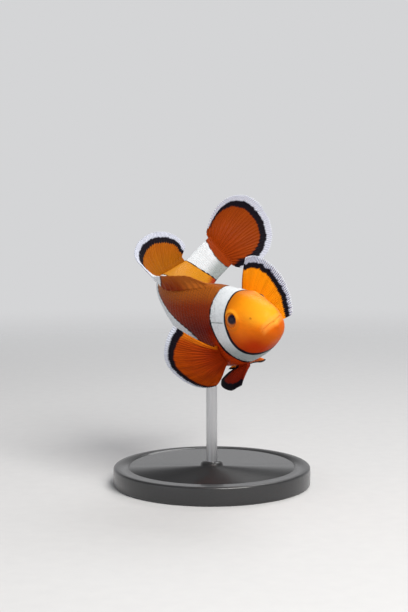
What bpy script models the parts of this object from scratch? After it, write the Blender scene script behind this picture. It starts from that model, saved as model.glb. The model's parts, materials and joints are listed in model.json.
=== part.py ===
"""A clownfish (Amphiprion ocellaris), life size, on a plain display stand.

The fish is drawn straight first, in fish coordinates measured in standard lengths:
    s   how far back from the tip of the snout (1.0 is the end of the tail stalk)
    y   how far to the fish's left
    z   how far up towards its back
A curved spine then carries every straight point into the swimming pose. The origin is the
middle of the underside of the stand's base, +Z is up, and the fish swims towards -Y.
"""

import math

import bmesh
import bpy
import numpy as np
from mathutils import Matrix, Vector
from mathutils.bvhtree import BVHTree

# ---------------------------------------------------------------- driving dimensions (metres, degrees)
STANDARD_LENGTH = 0.066  # snout tip to the end of the tail stalk
GAP = 0.0003  # clearance between neighbouring pieces
G = GAP / STANDARD_LENGTH  # the same clearance in standard lengths

HEADING = -60.0  # where the snout points, turned from +X
PITCH = 8.0  # snout up
BANK = 30.0  # left side up

# Half outline of the straight body: s, back, belly, half width (standard lengths).
STATIONS = np.array([
    (0.000, 0.006, -0.030, 0.014),
    (0.020, 0.050, -0.060, 0.048),
    (0.060, 0.088, -0.085, 0.072),
    (0.120, 0.127, -0.113, 0.091),
    (0.200, 0.160, -0.143, 0.106),
    (0.300, 0.189, -0.169, 0.110),
    (0.420, 0.203, -0.186, 0.103),
    (0.550, 0.197, -0.182, 0.088),
    (0.680, 0.168, -0.150, 0.067),
    (0.800, 0.110, -0.106, 0.044),
    (0.900, 0.079, -0.079, 0.029),
    (1.000, 0.078, -0.078, 0.018),
])
BACK_RIDGE = 1.12  # over 1 narrows the section towards the back
BELLY_KEEL = 0.95  # under 1 keeps the section full towards the belly

# How the spine bends at a few places along it, in radians per standard length.
BEND_AT = (0.00, 0.15, 0.30, 0.45, 0.60, 0.75, 0.90, 1.05, 1.30)
BEND_LEFT = (0.0, -0.7, -1.4, 4.5, 1.7, 3.1, 2.9, -0.2, 2.4)
BEND_UP = (0.0, 0.5, 1.0, 0.7, -1.1, -1.3, -1.0, 0.1, -0.7)
TWIST = (0.0, 0.1, 0.25, 1.6, 1.95, 0.0, 0.3, -0.7, -0.7)
SPINE_STEPS = 260

# Where the body is parted.
TRUNK_SPLIT = 0.46
STALK_SPLIT = 0.72
MOUTH_CORNER = 0.052  # how far back the lower jaw reaches
MOUTH_ANGLE = 94.0  # height of the mouth slit, turned down from the back
GILL_FRONT = 0.168
GILL_TOP = 76.0
GILL_BOTTOM = 152.0
GILL_DEPTH = 0.16  # thickness of a gill cover as a share of the body's half width

EYE_AT = (0.144, 0.071)  # s, z
EYE_RADIUS = 0.0025
EYE_HALF_DEPTH = 0.0019
EYE_SUNK = 0.00125

FIN_LIFT = G + 0.001  # how far the root of a fin on the midline stands off the back or belly

# How each paired fin is held: see paired_fin for the meaning of each entry.
PECTORAL = {
    "right": {
        "root_s": (0.305, 0.325), "root_angle": (100, 130),
        "ray": (0.51, 0.77, 0.21), "spread": (-0.44, -0.05, 0.65), "turn": (43, -75),
        "scale": 0.83, "cup": 0.27, "depth": 1.08,
    },
    "left": {
        "root_s": (0.305, 0.325), "root_angle": (100, 130),
        "ray": (0.17, 0.62, 0.48), "spread": (0.24, -0.54, 1.13), "turn": (35, -51),
        "scale": 0.92, "cup": -0.54, "depth": 1.08,
    },
}
PELVIC = {
    "right": {
        "root_s": (0.335, 0.285), "root_angle": (163, 170),
        "ray": (0.76, 0.46, -0.46), "spread": (0.59, -0.78, 0.20), "turn": (27, -44),
        "scale": 0.71, "cup": 0.10, "depth": 1.05,
    },
    "left": {
        "root_s": (0.335, 0.285), "root_angle": (163, 170),
        "ray": (0.80, 0.38, -0.46), "spread": (0.59, -0.78, 0.20), "turn": (27, -38),
        "scale": 0.71, "cup": 0.10, "depth": 1.05,
    },
}

BASE_RADIUS = 0.027
BASE_HEIGHT = 0.005
BASE_BEVEL = 0.0006
ROD_RADIUS = 0.0015
ROD_LENGTH = 0.030
ROD_AT = 0.50  # s of the ring of the body that the rod carries

RING = 40
ORANGE = (0.90, 0.26, 0.015)
DEEP_ORANGE = (0.80, 0.17, 0.01)
BROWN = (0.20, 0.055, 0.015)
WHITE = (0.85, 0.87, 0.88)
FIN_ORANGE = (0.85, 0.20, 0.01)
EYE_BLACK = (0.02, 0.015, 0.012)
STAND_BLACK = (0.03, 0.03, 0.032)
STEEL = (0.62, 0.62, 0.64)


# ---------------------------------------------------------------- the straight fish
def smooth_through(x, xs, ys):
    """Monotone cubic through the stations: no bulge between two of them."""
    step = np.diff(xs)
    slope = np.diff(ys) / step
    at = np.zeros_like(ys)
    both = slope[:-1] * slope[1:] > 0
    safe = np.where(both[:, None], np.stack([slope[:-1], slope[1:]], 1), 1.0)
    heavy = 2 * step[1:] + step[:-1]
    light = step[1:] + 2 * step[:-1]
    at[1:-1] = np.where(both, (heavy + light) / (heavy / safe[:, 0] + light / safe[:, 1]), 0.0)
    at[0] = slope[0] * 1.4
    at[-1] = slope[-1]
    i = np.clip(np.searchsorted(xs, x) - 1, 0, len(xs) - 2)
    t = (x - xs[i]) / step[i]
    low = (2 * t**3 - 3 * t**2 + 1) * ys[i] + (t**3 - 2 * t**2 + t) * step[i] * at[i]
    high = (-2 * t**3 + 3 * t**2) * ys[i + 1] + (t**3 - t**2) * step[i] * at[i + 1]
    return low + high


def back(s):
    return smooth_through(s, STATIONS[:, 0], STATIONS[:, 1])


def belly(s):
    return smooth_through(s, STATIONS[:, 0], STATIONS[:, 2])


def half_width(s):
    return smooth_through(s, STATIONS[:, 0], STATIONS[:, 3])


def on_body(s, angle, depth=1.0):
    """Fish coordinates on the ring at s. angle: 0 back, pi/2 right, pi belly. depth: 0 core, 1 skin."""
    s = np.asarray(s, float) + 0.0 * np.asarray(angle, float)
    angle = angle + 0.0 * s
    inside = np.clip(s, 0.0, 1.0)
    middle = (back(inside) + belly(inside)) / 2
    tall = (back(inside) - belly(inside)) / 2
    power = np.where(np.cos(angle) > 0, 1 + (BACK_RIDGE - 1) * np.cos(angle) ** 2, BELLY_KEEL)
    side = np.sign(np.sin(angle)) * np.abs(np.sin(angle)) ** power
    y = -half_width(inside) * side * depth
    z = middle + tall * np.cos(angle) * depth
    return np.stack([s, y, z], -1)


def gill_margin(angle):
    """s of the rear edge of the head: it bulges back at the gill covers."""
    side = np.abs(np.sin(angle))
    return 0.232 + 0.010 * np.cos(angle) + 0.016 * side**2


# ---------------------------------------------------------------- the pose
def head_frame():
    """Columns: forward, left and dorsal of the head, in world directions."""
    turn = Matrix.Rotation(math.radians(HEADING), 3, "Z")
    lift = Matrix.Rotation(math.radians(-PITCH), 3, "Y")
    roll = Matrix.Rotation(math.radians(BANK), 3, "X")
    return np.array(turn @ lift @ roll)


def turn_about(axis, amount):
    return np.array(Matrix.Rotation(amount, 3, axis))


class Spine:
    """The curved body axis: a place and a frame (forward, left, dorsal) at every s."""

    def __init__(self):
        self.s = np.linspace(0.0, BEND_AT[-1], SPINE_STEPS + 1)
        step = self.s[1]
        middle = self.s[:-1] + step / 2
        left = np.interp(middle, BEND_AT, BEND_LEFT) * step
        up = np.interp(middle, BEND_AT, BEND_UP) * step
        twist = np.interp(middle, BEND_AT, TWIST) * step
        frame = head_frame()
        place = np.zeros(3)
        self.frames = [frame]
        self.places = [place]
        for i in range(SPINE_STEPS):
            turned = frame @ turn_about("Z", -left[i]) @ turn_about("Y", up[i]) @ turn_about("X", twist[i])
            place = place - step * (frame[:, 0] + turned[:, 0]) / 2
            frame = turned
            self.frames.append(frame)
            self.places.append(place)
        self.frames = np.array(self.frames)
        self.places = np.array(self.places)
        self.start = np.zeros(3)

    def axes(self, s):
        """Place, forward, left and dorsal at s, each read between the two nearest steps."""
        s = np.asarray(s, float)
        reach = np.clip(s, 0.0, BEND_AT[-1] - 1e-6) / BEND_AT[-1] * SPINE_STEPS
        low = reach.astype(int)
        part = (reach - low)[..., None]
        place = self.places[low] * (1 - part) + self.places[low + 1] * part
        ways = []
        for k in range(3):
            way = self.frames[low, :, k] * (1 - part) + self.frames[low + 1, :, k] * part
            ways.append(way / np.linalg.norm(way, axis=-1, keepdims=True))
        return place, *ways

    def bend(self, q):
        """World metres of fish coordinates, each ring of the body staying flat."""
        place, forward, left, dorsal = self.axes(q[..., 0])
        ahead = np.minimum(q[..., 0:1], 0.0)
        local = place - forward * ahead + left * q[..., 1:2] + dorsal * q[..., 2:3]
        return self.start + STANDARD_LENGTH * local


def lowest_of_ring(spine, s):
    ring = spine.bend(on_body(s, np.linspace(0, 2 * math.pi, 720, endpoint=False)))
    return ring[ring[:, 2].argmin()]


def make_spine():
    """The spine, set so that the rod stands over the middle of the base."""
    spine = Spine()
    touch = lowest_of_ring(spine, ROD_AT)
    spine.start = np.array([0.0, 0.0, BASE_HEIGHT + GAP + ROD_LENGTH + GAP]) - touch
    return spine


# ---------------------------------------------------------------- building solids
def material(name, colour, roughness=0.45, metallic=0.0):
    made = bpy.data.materials.get(name) or bpy.data.materials.new(name)
    made.use_nodes = True
    shader = made.node_tree.nodes["Principled BSDF"]
    shader.inputs["Base Color"].default_value = (*colour, 1.0)
    shader.inputs["Roughness"].default_value = roughness
    shader.inputs["Metallic"].default_value = metallic
    made.diffuse_color = (*colour, 1.0)
    return made


def solid(name, points, faces, look):
    """A closed mesh object with its faces turned out."""
    shape = bmesh.new()
    corners = [shape.verts.new(p) for p in points.reshape(-1, 3)]
    for face in faces:
        shape.faces.new([corners[i] for i in face])
    bmesh.ops.recalc_face_normals(shape, faces=shape.faces)
    if shape.calc_volume(signed=True) < 0:
        bmesh.ops.reverse_faces(shape, faces=shape.faces)
    mesh = bpy.data.meshes.new(name)
    shape.to_mesh(mesh)
    shape.free()
    mesh.materials.append(look)
    mesh.shade_smooth()
    mesh.set_sharp_from_angle(angle=math.radians(50))
    made = bpy.data.objects.new(name, mesh)
    bpy.context.scene.collection.objects.link(made)
    return made


def wall(rows, columns, closed, start=0):
    """Quads between neighbouring rows of a grid of points, closed round when asked."""
    faces = []
    for i in range(rows - 1):
        for j in range(columns if closed else columns - 1):
            k = (j + 1) % columns
            low = start + i * columns
            high = low + columns
            faces.append((low + j, low + k, high + k, high + j))
    return faces


def body_length(name, spine, s_front, s_rear, rings, look, crowd=1.0):
    """One length of the body between two edges given as s for each angle, capped at both ends."""
    angle = np.linspace(0, 2 * math.pi, RING, endpoint=False)
    share = (np.linspace(0, 1, rings) ** crowd)[:, None]
    s = s_front(angle) + (s_rear(angle) - s_front(angle)) * share
    points = spine.bend(on_body(s, angle[None, :])).reshape(-1, 3)
    ends = []
    for edge in (s[0], s[-1]):
        core = on_body(np.array(edge.mean()), np.array(0.0), 0.0)
        ends.append(spine.bend(core[None, :])[0])
    points = np.vstack([points, ends])
    faces = wall(rings, RING, True)
    front, rear = rings * RING, rings * RING + 1
    last = (rings - 1) * RING
    for j in range(RING):
        k = (j + 1) % RING
        faces.append((front, k, j))
        faces.append((rear, last + j, last + k))
    return solid(name, points, faces, look)


def body_patch(name, spine, s, angle, inner, outer, look, lift=0.0):
    """A curved brick of the body: a grid of s by angle, between two depths."""
    layers = []
    for depth in (inner, outer):
        q = on_body(s, angle, depth)
        q[..., 2] += lift
        layers.append(spine.bend(q).reshape(-1, 3))
    rows, columns = s.shape
    count = rows * columns
    faces = wall(rows, columns, False) + wall(rows, columns, False, count)
    rim = [j for j in range(columns)]
    rim += [i * columns + columns - 1 for i in range(1, rows)]
    rim += [(rows - 1) * columns + j for j in range(columns - 2, -1, -1)]
    rim += [i * columns for i in range(rows - 2, 0, -1)]
    for a, b in zip(rim, rim[1:] + rim[:1]):
        faces.append((a, b, count + b, count + a))
    return solid(name, np.vstack(layers), faces, look)


def plate(name, middle, thick_root, thick_tip, look):
    """A fin: a grid of world points (ray by distance along it), thickened to both sides."""
    along = np.gradient(middle, axis=1)
    across = np.gradient(middle, axis=0)
    facing = np.cross(across, along)
    facing /= np.linalg.norm(facing, axis=-1, keepdims=True)
    half = np.linspace(thick_root, thick_tip, middle.shape[1])[None, :, None] / 2
    rows, columns = middle.shape[:2]
    count = rows * columns
    points = np.vstack([(middle + facing * half).reshape(-1, 3), (middle - facing * half).reshape(-1, 3)])
    faces = wall(rows, columns, False) + wall(rows, columns, False, count)
    rim = [j for j in range(columns)]
    rim += [i * columns + columns - 1 for i in range(1, rows)]
    rim += [(rows - 1) * columns + j for j in range(columns - 2, -1, -1)]
    rim += [i * columns for i in range(rows - 2, 0, -1)]
    for a, b in zip(rim, rim[1:] + rim[:1]):
        faces.append((a, b, count + b, count + a))
    return solid(name, points, faces, look)


def cut(body, cutter):
    """Takes the cutter's shape out of the body and leaves the cutter as a hidden guide."""
    cutter.hide_render = True
    cutter.display_type = "WIRE"
    modifier = body.modifiers.new("Cut " + cutter.name, "BOOLEAN")
    modifier.object = cutter
    modifier.operation = "DIFFERENCE"


# ---------------------------------------------------------------- head
def jaw_sections(spine, name, s_rear, angle, outer, lift, look):
    """A wedge of the head below the mouth slit: fans of points round the core line."""
    s = (np.linspace(0, 1, 7) ** 1.3) * s_rear
    arc = np.linspace(math.radians(angle), 2 * math.pi - math.radians(angle), 15)
    q = on_body(s[:, None], arc[None, :], outer)
    core = on_body(s, np.zeros_like(s), 0.0)[:, None, :]
    rows = np.concatenate([core, q], axis=1)
    rows[..., 2] += lift
    if lift:
        rows[0, :, 0] -= 0.02
    count = rows.shape[1]
    faces = wall(len(s), count, True)
    for start in (0, (len(s) - 1) * count):
        faces += [(start, start + j, start + j + 1) for j in range(1, count - 1)]
    return solid(name, spine.bend(rows), faces, look)


def eye_matrix(spine, side):
    """Frame of an eye: its Z looks straight out of the head. side: +1 left, -1 right."""
    s, z = EYE_AT
    tall = (back(s) - belly(s)) / 2
    middle = (back(s) + belly(s)) / 2
    angle = math.acos((z - middle) / tall)
    angle = -angle if side > 0 else angle
    here = spine.bend(on_body(np.array(s), np.array(angle)))
    ahead = spine.bend(on_body(np.array(s - 0.01), np.array(angle)))
    higher = spine.bend(on_body(np.array(s), np.array(angle - side * -0.05)))
    forward = Vector(ahead - here).normalized()
    upward = Vector(higher - here).normalized()
    out = (forward.cross(upward) * -side).normalized()
    core = Vector(spine.bend(on_body(np.array(s), np.array(0.0), 0.0)))
    if (Vector(here) - core).dot(out) < 0:
        out.negate()
    upward = out.cross(forward).normalized()
    forward = upward.cross(out).normalized()
    turn = Matrix((forward, upward, out)).transposed().to_4x4()
    turn.translation = Vector(here) - out * EYE_SUNK
    return turn


def eyeball(name, matrix, radius, half_depth, look):
    """A flattened ball, broad face outwards."""
    shape = bmesh.new()
    bmesh.ops.create_uvsphere(shape, u_segments=18, v_segments=10, radius=1.0)
    bmesh.ops.scale(shape, vec=(radius, radius, half_depth), verts=shape.verts)
    bmesh.ops.transform(shape, matrix=matrix, verts=shape.verts)
    bmesh.ops.recalc_face_normals(shape, faces=shape.faces)
    mesh = bpy.data.meshes.new(name)
    shape.to_mesh(mesh)
    shape.free()
    mesh.materials.append(look)
    mesh.shade_smooth()
    made = bpy.data.objects.new(name, mesh)
    bpy.context.scene.collection.objects.link(made)
    return made


def gill_grid(side, grow):
    """s and angle over one gill cover, a little larger when it is the cutter's."""
    top = math.radians(GILL_TOP) - grow / 0.15
    bottom = math.radians(GILL_BOTTOM) + grow / 0.15
    angle = np.linspace(top, bottom, 11)
    front = GILL_FRONT + 0.040 * (np.cos(angle) + 0.3) ** 2 - grow
    rear = gill_margin(angle) + (0.03 if grow else 0.0)
    share = np.linspace(0, 1, 5)[:, None]
    s = front + (rear - front) * share
    return s, -side * angle[None, :] + 0.0 * s


def make_head(spine):
    """Head, lower jaw, two gill covers and two eyes."""
    orange = material("head orange", ORANGE)
    head = body_length("head", spine, lambda a: 0.0 * a, gill_margin, 14, orange, crowd=1.5)
    jaw_sections(spine, "lower_jaw", MOUTH_CORNER, MOUTH_ANGLE, 1.0, 0.0, material("jaw orange", DEEP_ORANGE))
    cut(head, jaw_sections(spine, "jaw_cutter", MOUTH_CORNER + G, MOUTH_ANGLE - 1.0, 1.4, G, orange))
    for side, which in ((1, "left"), (-1, "right")):
        s, angle = gill_grid(side, 0.0)
        body_patch("gill_cover_" + which, spine, s, angle, 1 - GILL_DEPTH, 1.0, material("gill white", WHITE))
        s, angle = gill_grid(side, G)
        deeper = 1 - GILL_DEPTH - G / 0.1
        cut(head, body_patch("gill_cutter_" + which, spine, s, angle, deeper, 1.3, orange))
        place = eye_matrix(spine, side)
        eyeball("eye_" + which, place, EYE_RADIUS, EYE_HALF_DEPTH, material("eye black", EYE_BLACK, 0.1))
        socket = eyeball("socket_" + which, place, EYE_RADIUS + GAP, EYE_HALF_DEPTH + GAP, orange)
        cut(head, socket)


# ---------------------------------------------------------------- trunk and tail stalk
def make_trunk(spine):
    """The body behind the gills in three lengths, parted by thin flat cuts."""
    saddle = material("saddle brown", BROWN)
    orange = material("flank orange", DEEP_ORANGE)

    def behind_gills(angle):
        return gill_margin(angle) + G

    def at(s):
        return lambda angle: s + 0.0 * angle

    body_length("trunk_front", spine, behind_gills, at(TRUNK_SPLIT - G / 2), 10, saddle)
    body_length("trunk_rear", spine, at(TRUNK_SPLIT + G / 2), at(STALK_SPLIT - G / 2), 12, orange)
    body_length("tail_stalk", spine, at(STALK_SPLIT + G / 2), at(1.0), 12, orange)


# ---------------------------------------------------------------- fins
def fan(rays, steps):
    """Two grids: u runs over the rays, v along each ray from root to tip."""
    u = np.linspace(0, 1, rays)[:, None]
    v = np.linspace(0, 1, steps)[None, :]
    return u + 0 * v, v + 0 * u


def median_fin(name, spine, v, root, tip, look):
    """A fin on the midline: rays from a root to a tip, each (s, y, z)."""
    root = np.stack(np.broadcast_arrays(*root, v)[:3], -1)
    tip = np.stack(np.broadcast_arrays(*tip, v)[:3], -1)
    plate(name, spine.bend(root + (tip - root) * v[..., None]), 0.0009, 0.0006, look)


def make_spiny_dorsal(spine, look):
    """The front dorsal fin, laid back in its groove, highest near its rear end."""
    u, v = fan(15, 4)
    s = 0.30 + 0.285 * u
    tip_s = 0.365 + 0.237 * u
    height = 0.014 + 0.030 * np.sin(math.pi * u**1.5)
    root = (s, 0.0, back(s) + FIN_LIFT)
    tip = (tip_s, -0.006, back(tip_s) + FIN_LIFT + height)
    median_fin("dorsal_fin_spiny", spine, v, root, tip, look)


def make_soft_fin(name, spine, look, s, edge, up, sweep):
    """A round fin on the back or the belly. sweep turns the rays back, from the first to the last."""
    u, v = fan(15, 7)
    s = s[0] + (s[1] - s[0]) * u
    length = 0.047 + 0.115 * np.sin(math.pi * (0.04 + 0.95 * u)) ** 0.84
    turn = np.radians(sweep[0] + (sweep[1] - sweep[0]) * u)
    root_z = edge(s) + up * FIN_LIFT
    tip = (s + length * np.sin(turn), 0.0, root_z + up * length * np.cos(turn))
    median_fin(name, spine, v, (s, 0.0, root_z), tip, look)


def make_caudal_fin(spine, look):
    """The tail fin: rays fan out from the end of the stalk to a rounded edge."""
    u, v = fan(19, 8)
    spread = 2 * u - 1
    z_root = 0.072 * spread
    turn = np.radians(50) * spread
    length = 0.284 - 0.226 * np.abs(spread) ** 2.4
    s = 1.0 + FIN_LIFT + length * v * np.cos(turn)
    z = z_root + length * v * np.sin(turn)
    y = -0.021 * np.sin(math.pi * v)
    plate("caudal_fin", spine.bend(np.stack([s, y, z], -1)), 0.0012, 0.0006, look)


def paired_fin(name, spine, side, pose, length, look):
    """A fin on one side of the body, held by its pose. Ways are (back, out, up) at the fin's root.

    root_s, root_angle  the two ends of the fin's base on the body
    depth               how far out its base stands, where 1 is the skin
    ray                 where the middle ray points
    spread              the way the fan opens towards its first ray
    turn                how far the first and the last ray turn from the middle one, in degrees
    """
    u, v = fan(15, 7)
    ray = np.array(pose["ray"]) / np.linalg.norm(pose["ray"])
    spread = pose["spread"] - ray * np.dot(pose["spread"], ray)
    spread = spread / np.linalg.norm(spread)
    across = np.cross(ray, spread)
    turn = np.radians(np.interp(u, (0, 1), pose["turn"]))[..., None]
    along = v[..., None]
    way = along * (np.cos(turn) * ray + np.sin(turn) * spread) + pose["cup"] * along**2 * across
    s = np.interp(u, (0, 1), pose["root_s"])
    angle = np.radians(np.interp(u, (0, 1), pose["root_angle"]))
    root = spine.bend(on_body(s, -side * angle, pose["depth"]))
    _, forward, left, dorsal = spine.axes(np.mean(pose["root_s"]))
    axes = np.stack([-forward, side * left, dorsal])
    long = (pose["scale"] * length(u) * STANDARD_LENGTH)[..., None]
    plate(name, root + long * (way @ axes), 0.0009, 0.0006, look)


def make_fins(spine):
    orange = material("fin orange", FIN_ORANGE)
    make_spiny_dorsal(spine, orange)
    make_soft_fin("dorsal_fin_soft", spine, orange, (0.615, 0.865), back, 1, (24, 75))
    make_soft_fin("anal_fin", spine, orange, (0.665, 0.860), belly, -1, (28, 75))
    make_caudal_fin(spine, material("tail orange", DEEP_ORANGE))
    for side, which in ((1, "left"), (-1, "right")):
        paired_fin("pectoral_fin_" + which, spine, side, PECTORAL[which], pectoral_length, orange)
        paired_fin("pelvic_fin_" + which, spine, side, PELVIC[which], pelvic_length, orange)


def pectoral_length(u):
    return 0.121 + 0.124 * np.sin(math.pi * (0.36 + 0.44 * u))


def pelvic_length(u):
    return 0.200 - 0.075 * u**1.5


# ---------------------------------------------------------------- stand
def make_base():
    shape = bmesh.new()
    bmesh.ops.create_cone(
        shape, cap_ends=True, segments=48, radius1=BASE_RADIUS, radius2=BASE_RADIUS, depth=BASE_HEIGHT
    )
    mesh = bpy.data.meshes.new("stand_base")
    shape.to_mesh(mesh)
    shape.free()
    mesh.materials.append(material("stand black", STAND_BLACK, 0.35))
    base = bpy.data.objects.new("stand_base", mesh)
    base.location = (0.0, 0.0, BASE_HEIGHT / 2)
    bpy.context.scene.collection.objects.link(base)
    bevel = base.modifiers.new("Soft edge", "BEVEL")
    bevel.width = BASE_BEVEL
    bevel.segments = 2
    bevel.limit_method = "ANGLE"


def make_rod(spine):
    """A round rod from the base to the belly, its top cut to the belly's shape."""
    angle = np.linspace(0, 2 * math.pi, RING, endpoint=False)
    s = np.linspace(ROD_AT - 0.09, ROD_AT + 0.09, 25)[:, None]
    skin = spine.bend(on_body(s, angle[None, :])).reshape(-1, 3)
    belly_tree = BVHTree.FromPolygons([Vector(p) for p in skin], wall(25, RING, True))
    sides = 20
    turn = np.linspace(0, 2 * math.pi, sides, endpoint=False)
    rim = np.stack([np.cos(turn), np.sin(turn), 0 * turn], -1) * ROD_RADIUS
    rim = np.vstack([rim, (0.0, 0.0, 0.0)])
    foot = rim + (0.0, 0.0, BASE_HEIGHT + GAP)
    top = foot.copy()
    for i, p in enumerate(foot):
        hit = belly_tree.ray_cast(Vector(p), Vector((0, 0, 1)))[0]
        top[i, 2] = hit.z - GAP
    faces = []
    for j in range(sides):
        k = (j + 1) % sides
        faces.append((j, k, sides + 1 + k, sides + 1 + j))
        faces.append((sides, k, j))
        faces.append((2 * sides + 1, sides + 1 + j, sides + 1 + k))
    solid("stand_rod", np.vstack([foot, top]), faces, material("rod steel", STEEL, 0.25, 1.0))


def main():
    for old in list(bpy.data.objects):
        bpy.data.objects.remove(old, do_unlink=True)
    spine = make_spine()
    make_head(spine)
    make_trunk(spine)
    make_fins(spine)
    make_base()
    make_rod(spine)


main()
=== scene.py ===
# %% [markdown]
# # A clownfish on its display stand
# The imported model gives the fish's place, pose and size as plain solids. This script dresses them:
# one skin over the whole body, a coat of real scales, fins with rays, wet eyes and a finished stand.
# Loading the frame comes first, because every piece below takes its place from it.

# %% Load the fixed frame
import json
import math

import bpy
import mathutils
import numpy as np
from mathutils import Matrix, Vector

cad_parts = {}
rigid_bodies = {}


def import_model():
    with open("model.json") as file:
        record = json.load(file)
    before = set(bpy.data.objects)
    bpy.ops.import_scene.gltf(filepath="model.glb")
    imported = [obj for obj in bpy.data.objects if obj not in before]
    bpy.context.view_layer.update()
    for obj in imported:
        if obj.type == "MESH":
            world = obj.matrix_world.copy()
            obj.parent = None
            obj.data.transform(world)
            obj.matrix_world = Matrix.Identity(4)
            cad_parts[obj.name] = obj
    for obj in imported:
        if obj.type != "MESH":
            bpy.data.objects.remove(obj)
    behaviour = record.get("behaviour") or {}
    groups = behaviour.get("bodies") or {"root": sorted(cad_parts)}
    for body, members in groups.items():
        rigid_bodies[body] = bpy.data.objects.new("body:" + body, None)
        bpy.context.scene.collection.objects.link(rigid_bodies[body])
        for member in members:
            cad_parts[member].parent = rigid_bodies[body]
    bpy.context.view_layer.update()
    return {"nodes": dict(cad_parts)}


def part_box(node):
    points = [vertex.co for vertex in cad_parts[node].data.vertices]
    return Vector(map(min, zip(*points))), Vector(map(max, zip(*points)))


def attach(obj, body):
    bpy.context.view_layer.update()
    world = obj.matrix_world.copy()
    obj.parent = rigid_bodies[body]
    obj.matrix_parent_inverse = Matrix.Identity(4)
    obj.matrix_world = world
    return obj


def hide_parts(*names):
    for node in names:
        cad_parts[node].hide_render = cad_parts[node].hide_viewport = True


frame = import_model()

print("nodes:", sorted(frame["nodes"]))

# %% [markdown]
# ## The fish drawn straight
# A swimming fish is hard to describe, but a straight one is easy: an oval section that grows and
# shrinks along the body. Every point has three fish coordinates in standard lengths: s back from the
# snout, y to the left and z up. One could sculpt the curved fish directly; drawing it straight
# and bending it afterwards keeps the marks, scales and fins in simple numbers.

# %% Driving sizes
STANDARD_LENGTH = 0.066  # metres from the snout to the end of the tail stalk
MM = 0.001 / STANDARD_LENGTH  # one millimetre in fish coordinates

STATIONS = np.array([  # s, back, belly, half width
    (0.000, 0.006, -0.030, 0.014),
    (0.020, 0.050, -0.060, 0.048),
    (0.060, 0.088, -0.085, 0.072),
    (0.120, 0.127, -0.113, 0.091),
    (0.200, 0.160, -0.143, 0.106),
    (0.300, 0.189, -0.169, 0.110),
    (0.420, 0.203, -0.186, 0.103),
    (0.550, 0.197, -0.182, 0.088),
    (0.680, 0.168, -0.150, 0.067),
    (0.800, 0.110, -0.106, 0.044),
    (0.900, 0.079, -0.079, 0.029),
    (1.000, 0.078, -0.078, 0.018),
])
SNOUT_STEEPER = 1.4  # the snout swells this much faster than a line to the second station
BACK_RIDGE = 1.12  # over 1 narrows the section towards the back
BELLY_KEEL = 0.95  # under 1 keeps it full towards the belly
TAIL_CLOSES = (0.985, 0.05)  # s where the stalk starts to thin, inside the tail fin, and how far it does
TAIL_THIN = 0.97  # the share of its squared width that it has lost there


# %% Curves through the stations
def through_stations(x, column):
    """Monotone cubic through a column of the stations: it never overshoots either of two neighbours."""
    xs, ys = STATIONS[:, 0], STATIONS[:, column]
    step = np.diff(xs)
    slope = np.diff(ys) / step
    at = np.zeros_like(ys)
    both = slope[:-1] * slope[1:] > 0
    safe = np.where(both[:, None], np.stack([slope[:-1], slope[1:]], 1), 1.0)
    heavy = 2 * step[1:] + step[:-1]
    light = step[1:] + 2 * step[:-1]
    at[1:-1] = np.where(both, (heavy + light) / (heavy / safe[:, 0] + light / safe[:, 1]), 0.0)
    at[0] = slope[0] * SNOUT_STEEPER
    at[-1] = slope[-1]
    i = np.clip(np.searchsorted(xs, x) - 1, 0, len(xs) - 2)
    t = (x - xs[i]) / step[i]
    low = (2 * t**3 - 3 * t**2 + 1) * ys[i] + (t**3 - 2 * t**2 + t) * step[i] * at[i]
    high = (-2 * t**3 + 3 * t**2) * ys[i + 1] + (t**3 - t**2) * step[i] * at[i + 1]
    return low + high


def back(s):
    return through_stations(s, 1)


def belly(s):
    return through_stations(s, 2)


def half_width(s):
    return through_stations(s, 3)


# %% The straight body as a function of two parameters
def on_body(s, angle, depth=1.0):
    """A point of the straight body.

    z is the middle of the section plus its half height times cos(angle); y is the half width times
    sin(angle), raised to a power that narrows the back. angle 0 is the back, pi/2 the right side.
    """
    s, angle = np.broadcast_arrays(np.asarray(s, float), np.asarray(angle, float))
    inside = np.clip(s, 0.0, 1.0)
    middle = (back(inside) + belly(inside)) / 2
    tall = (back(inside) - belly(inside)) / 2
    power = np.where(np.cos(angle) > 0, 1 + (BACK_RIDGE - 1) * np.cos(angle) ** 2, BELLY_KEEL)
    side = np.sign(np.sin(angle)) * np.abs(np.sin(angle)) ** power
    closing = np.sqrt(1 - TAIL_THIN * np.clip((s - TAIL_CLOSES[0]) / TAIL_CLOSES[1], 0.0, 1.0) ** 2)
    y = -half_width(inside) * side * closing * depth
    return np.stack([s, y, middle + tall * np.cos(angle) * depth], -1)


def unit(way):
    return way / np.maximum(np.linalg.norm(way, axis=-1, keepdims=True), 1e-12)


def circle(count):
    """The angles of count even steps round a circle."""
    return np.linspace(0, 2 * math.pi, count, endpoint=False)


def outward(s, angle):
    """The straight body's outward direction: the cross product of its two slopes."""
    step = 1e-4
    along = on_body(s + step, angle) - on_body(np.maximum(s - step, 0.0), angle)
    around = on_body(s, angle + step) - on_body(s, angle - step)
    return unit(np.cross(around, along))


deepest = (STATIONS[:, 1] - STATIONS[:, 2]).max() * STANDARD_LENGTH
print("deepest body:", round(float(deepest) * 1000, 1), "mm")

# %% Places on the head
EYE_AT = (0.144, 0.071)  # s and z
EYE_RADIUS = 0.0025  # metres, as are the three below
EYE_HALF_DEPTH = 0.0019
EYE_SUNK = 0.00140  # how deep its middle lies under the skin
PUPIL_AT = {"right": (0.00060, 0.00042), "left": (-0.00015, -0.00020)}  # forward and up from its middle
NOSTRIL_AT = (0.056, 0.055)
MOUTH_CORNER = 0.030  # s where the mouth line ends
MOUTH_HIGH = 0.006  # z of the mouth line at the snout
NOTCH_C = 0.41  # cos(angle) of the notch in the gill cover's edge
COAT_DEPTH = 0.055 * MM  # thickness of the coat of scales


def side_angle(s, z):
    """Angle on the right side whose point at s has height z."""
    tall = (back(s) - belly(s)) / 2
    return math.acos((z - (back(s) + belly(s)) / 2) / tall)


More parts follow.
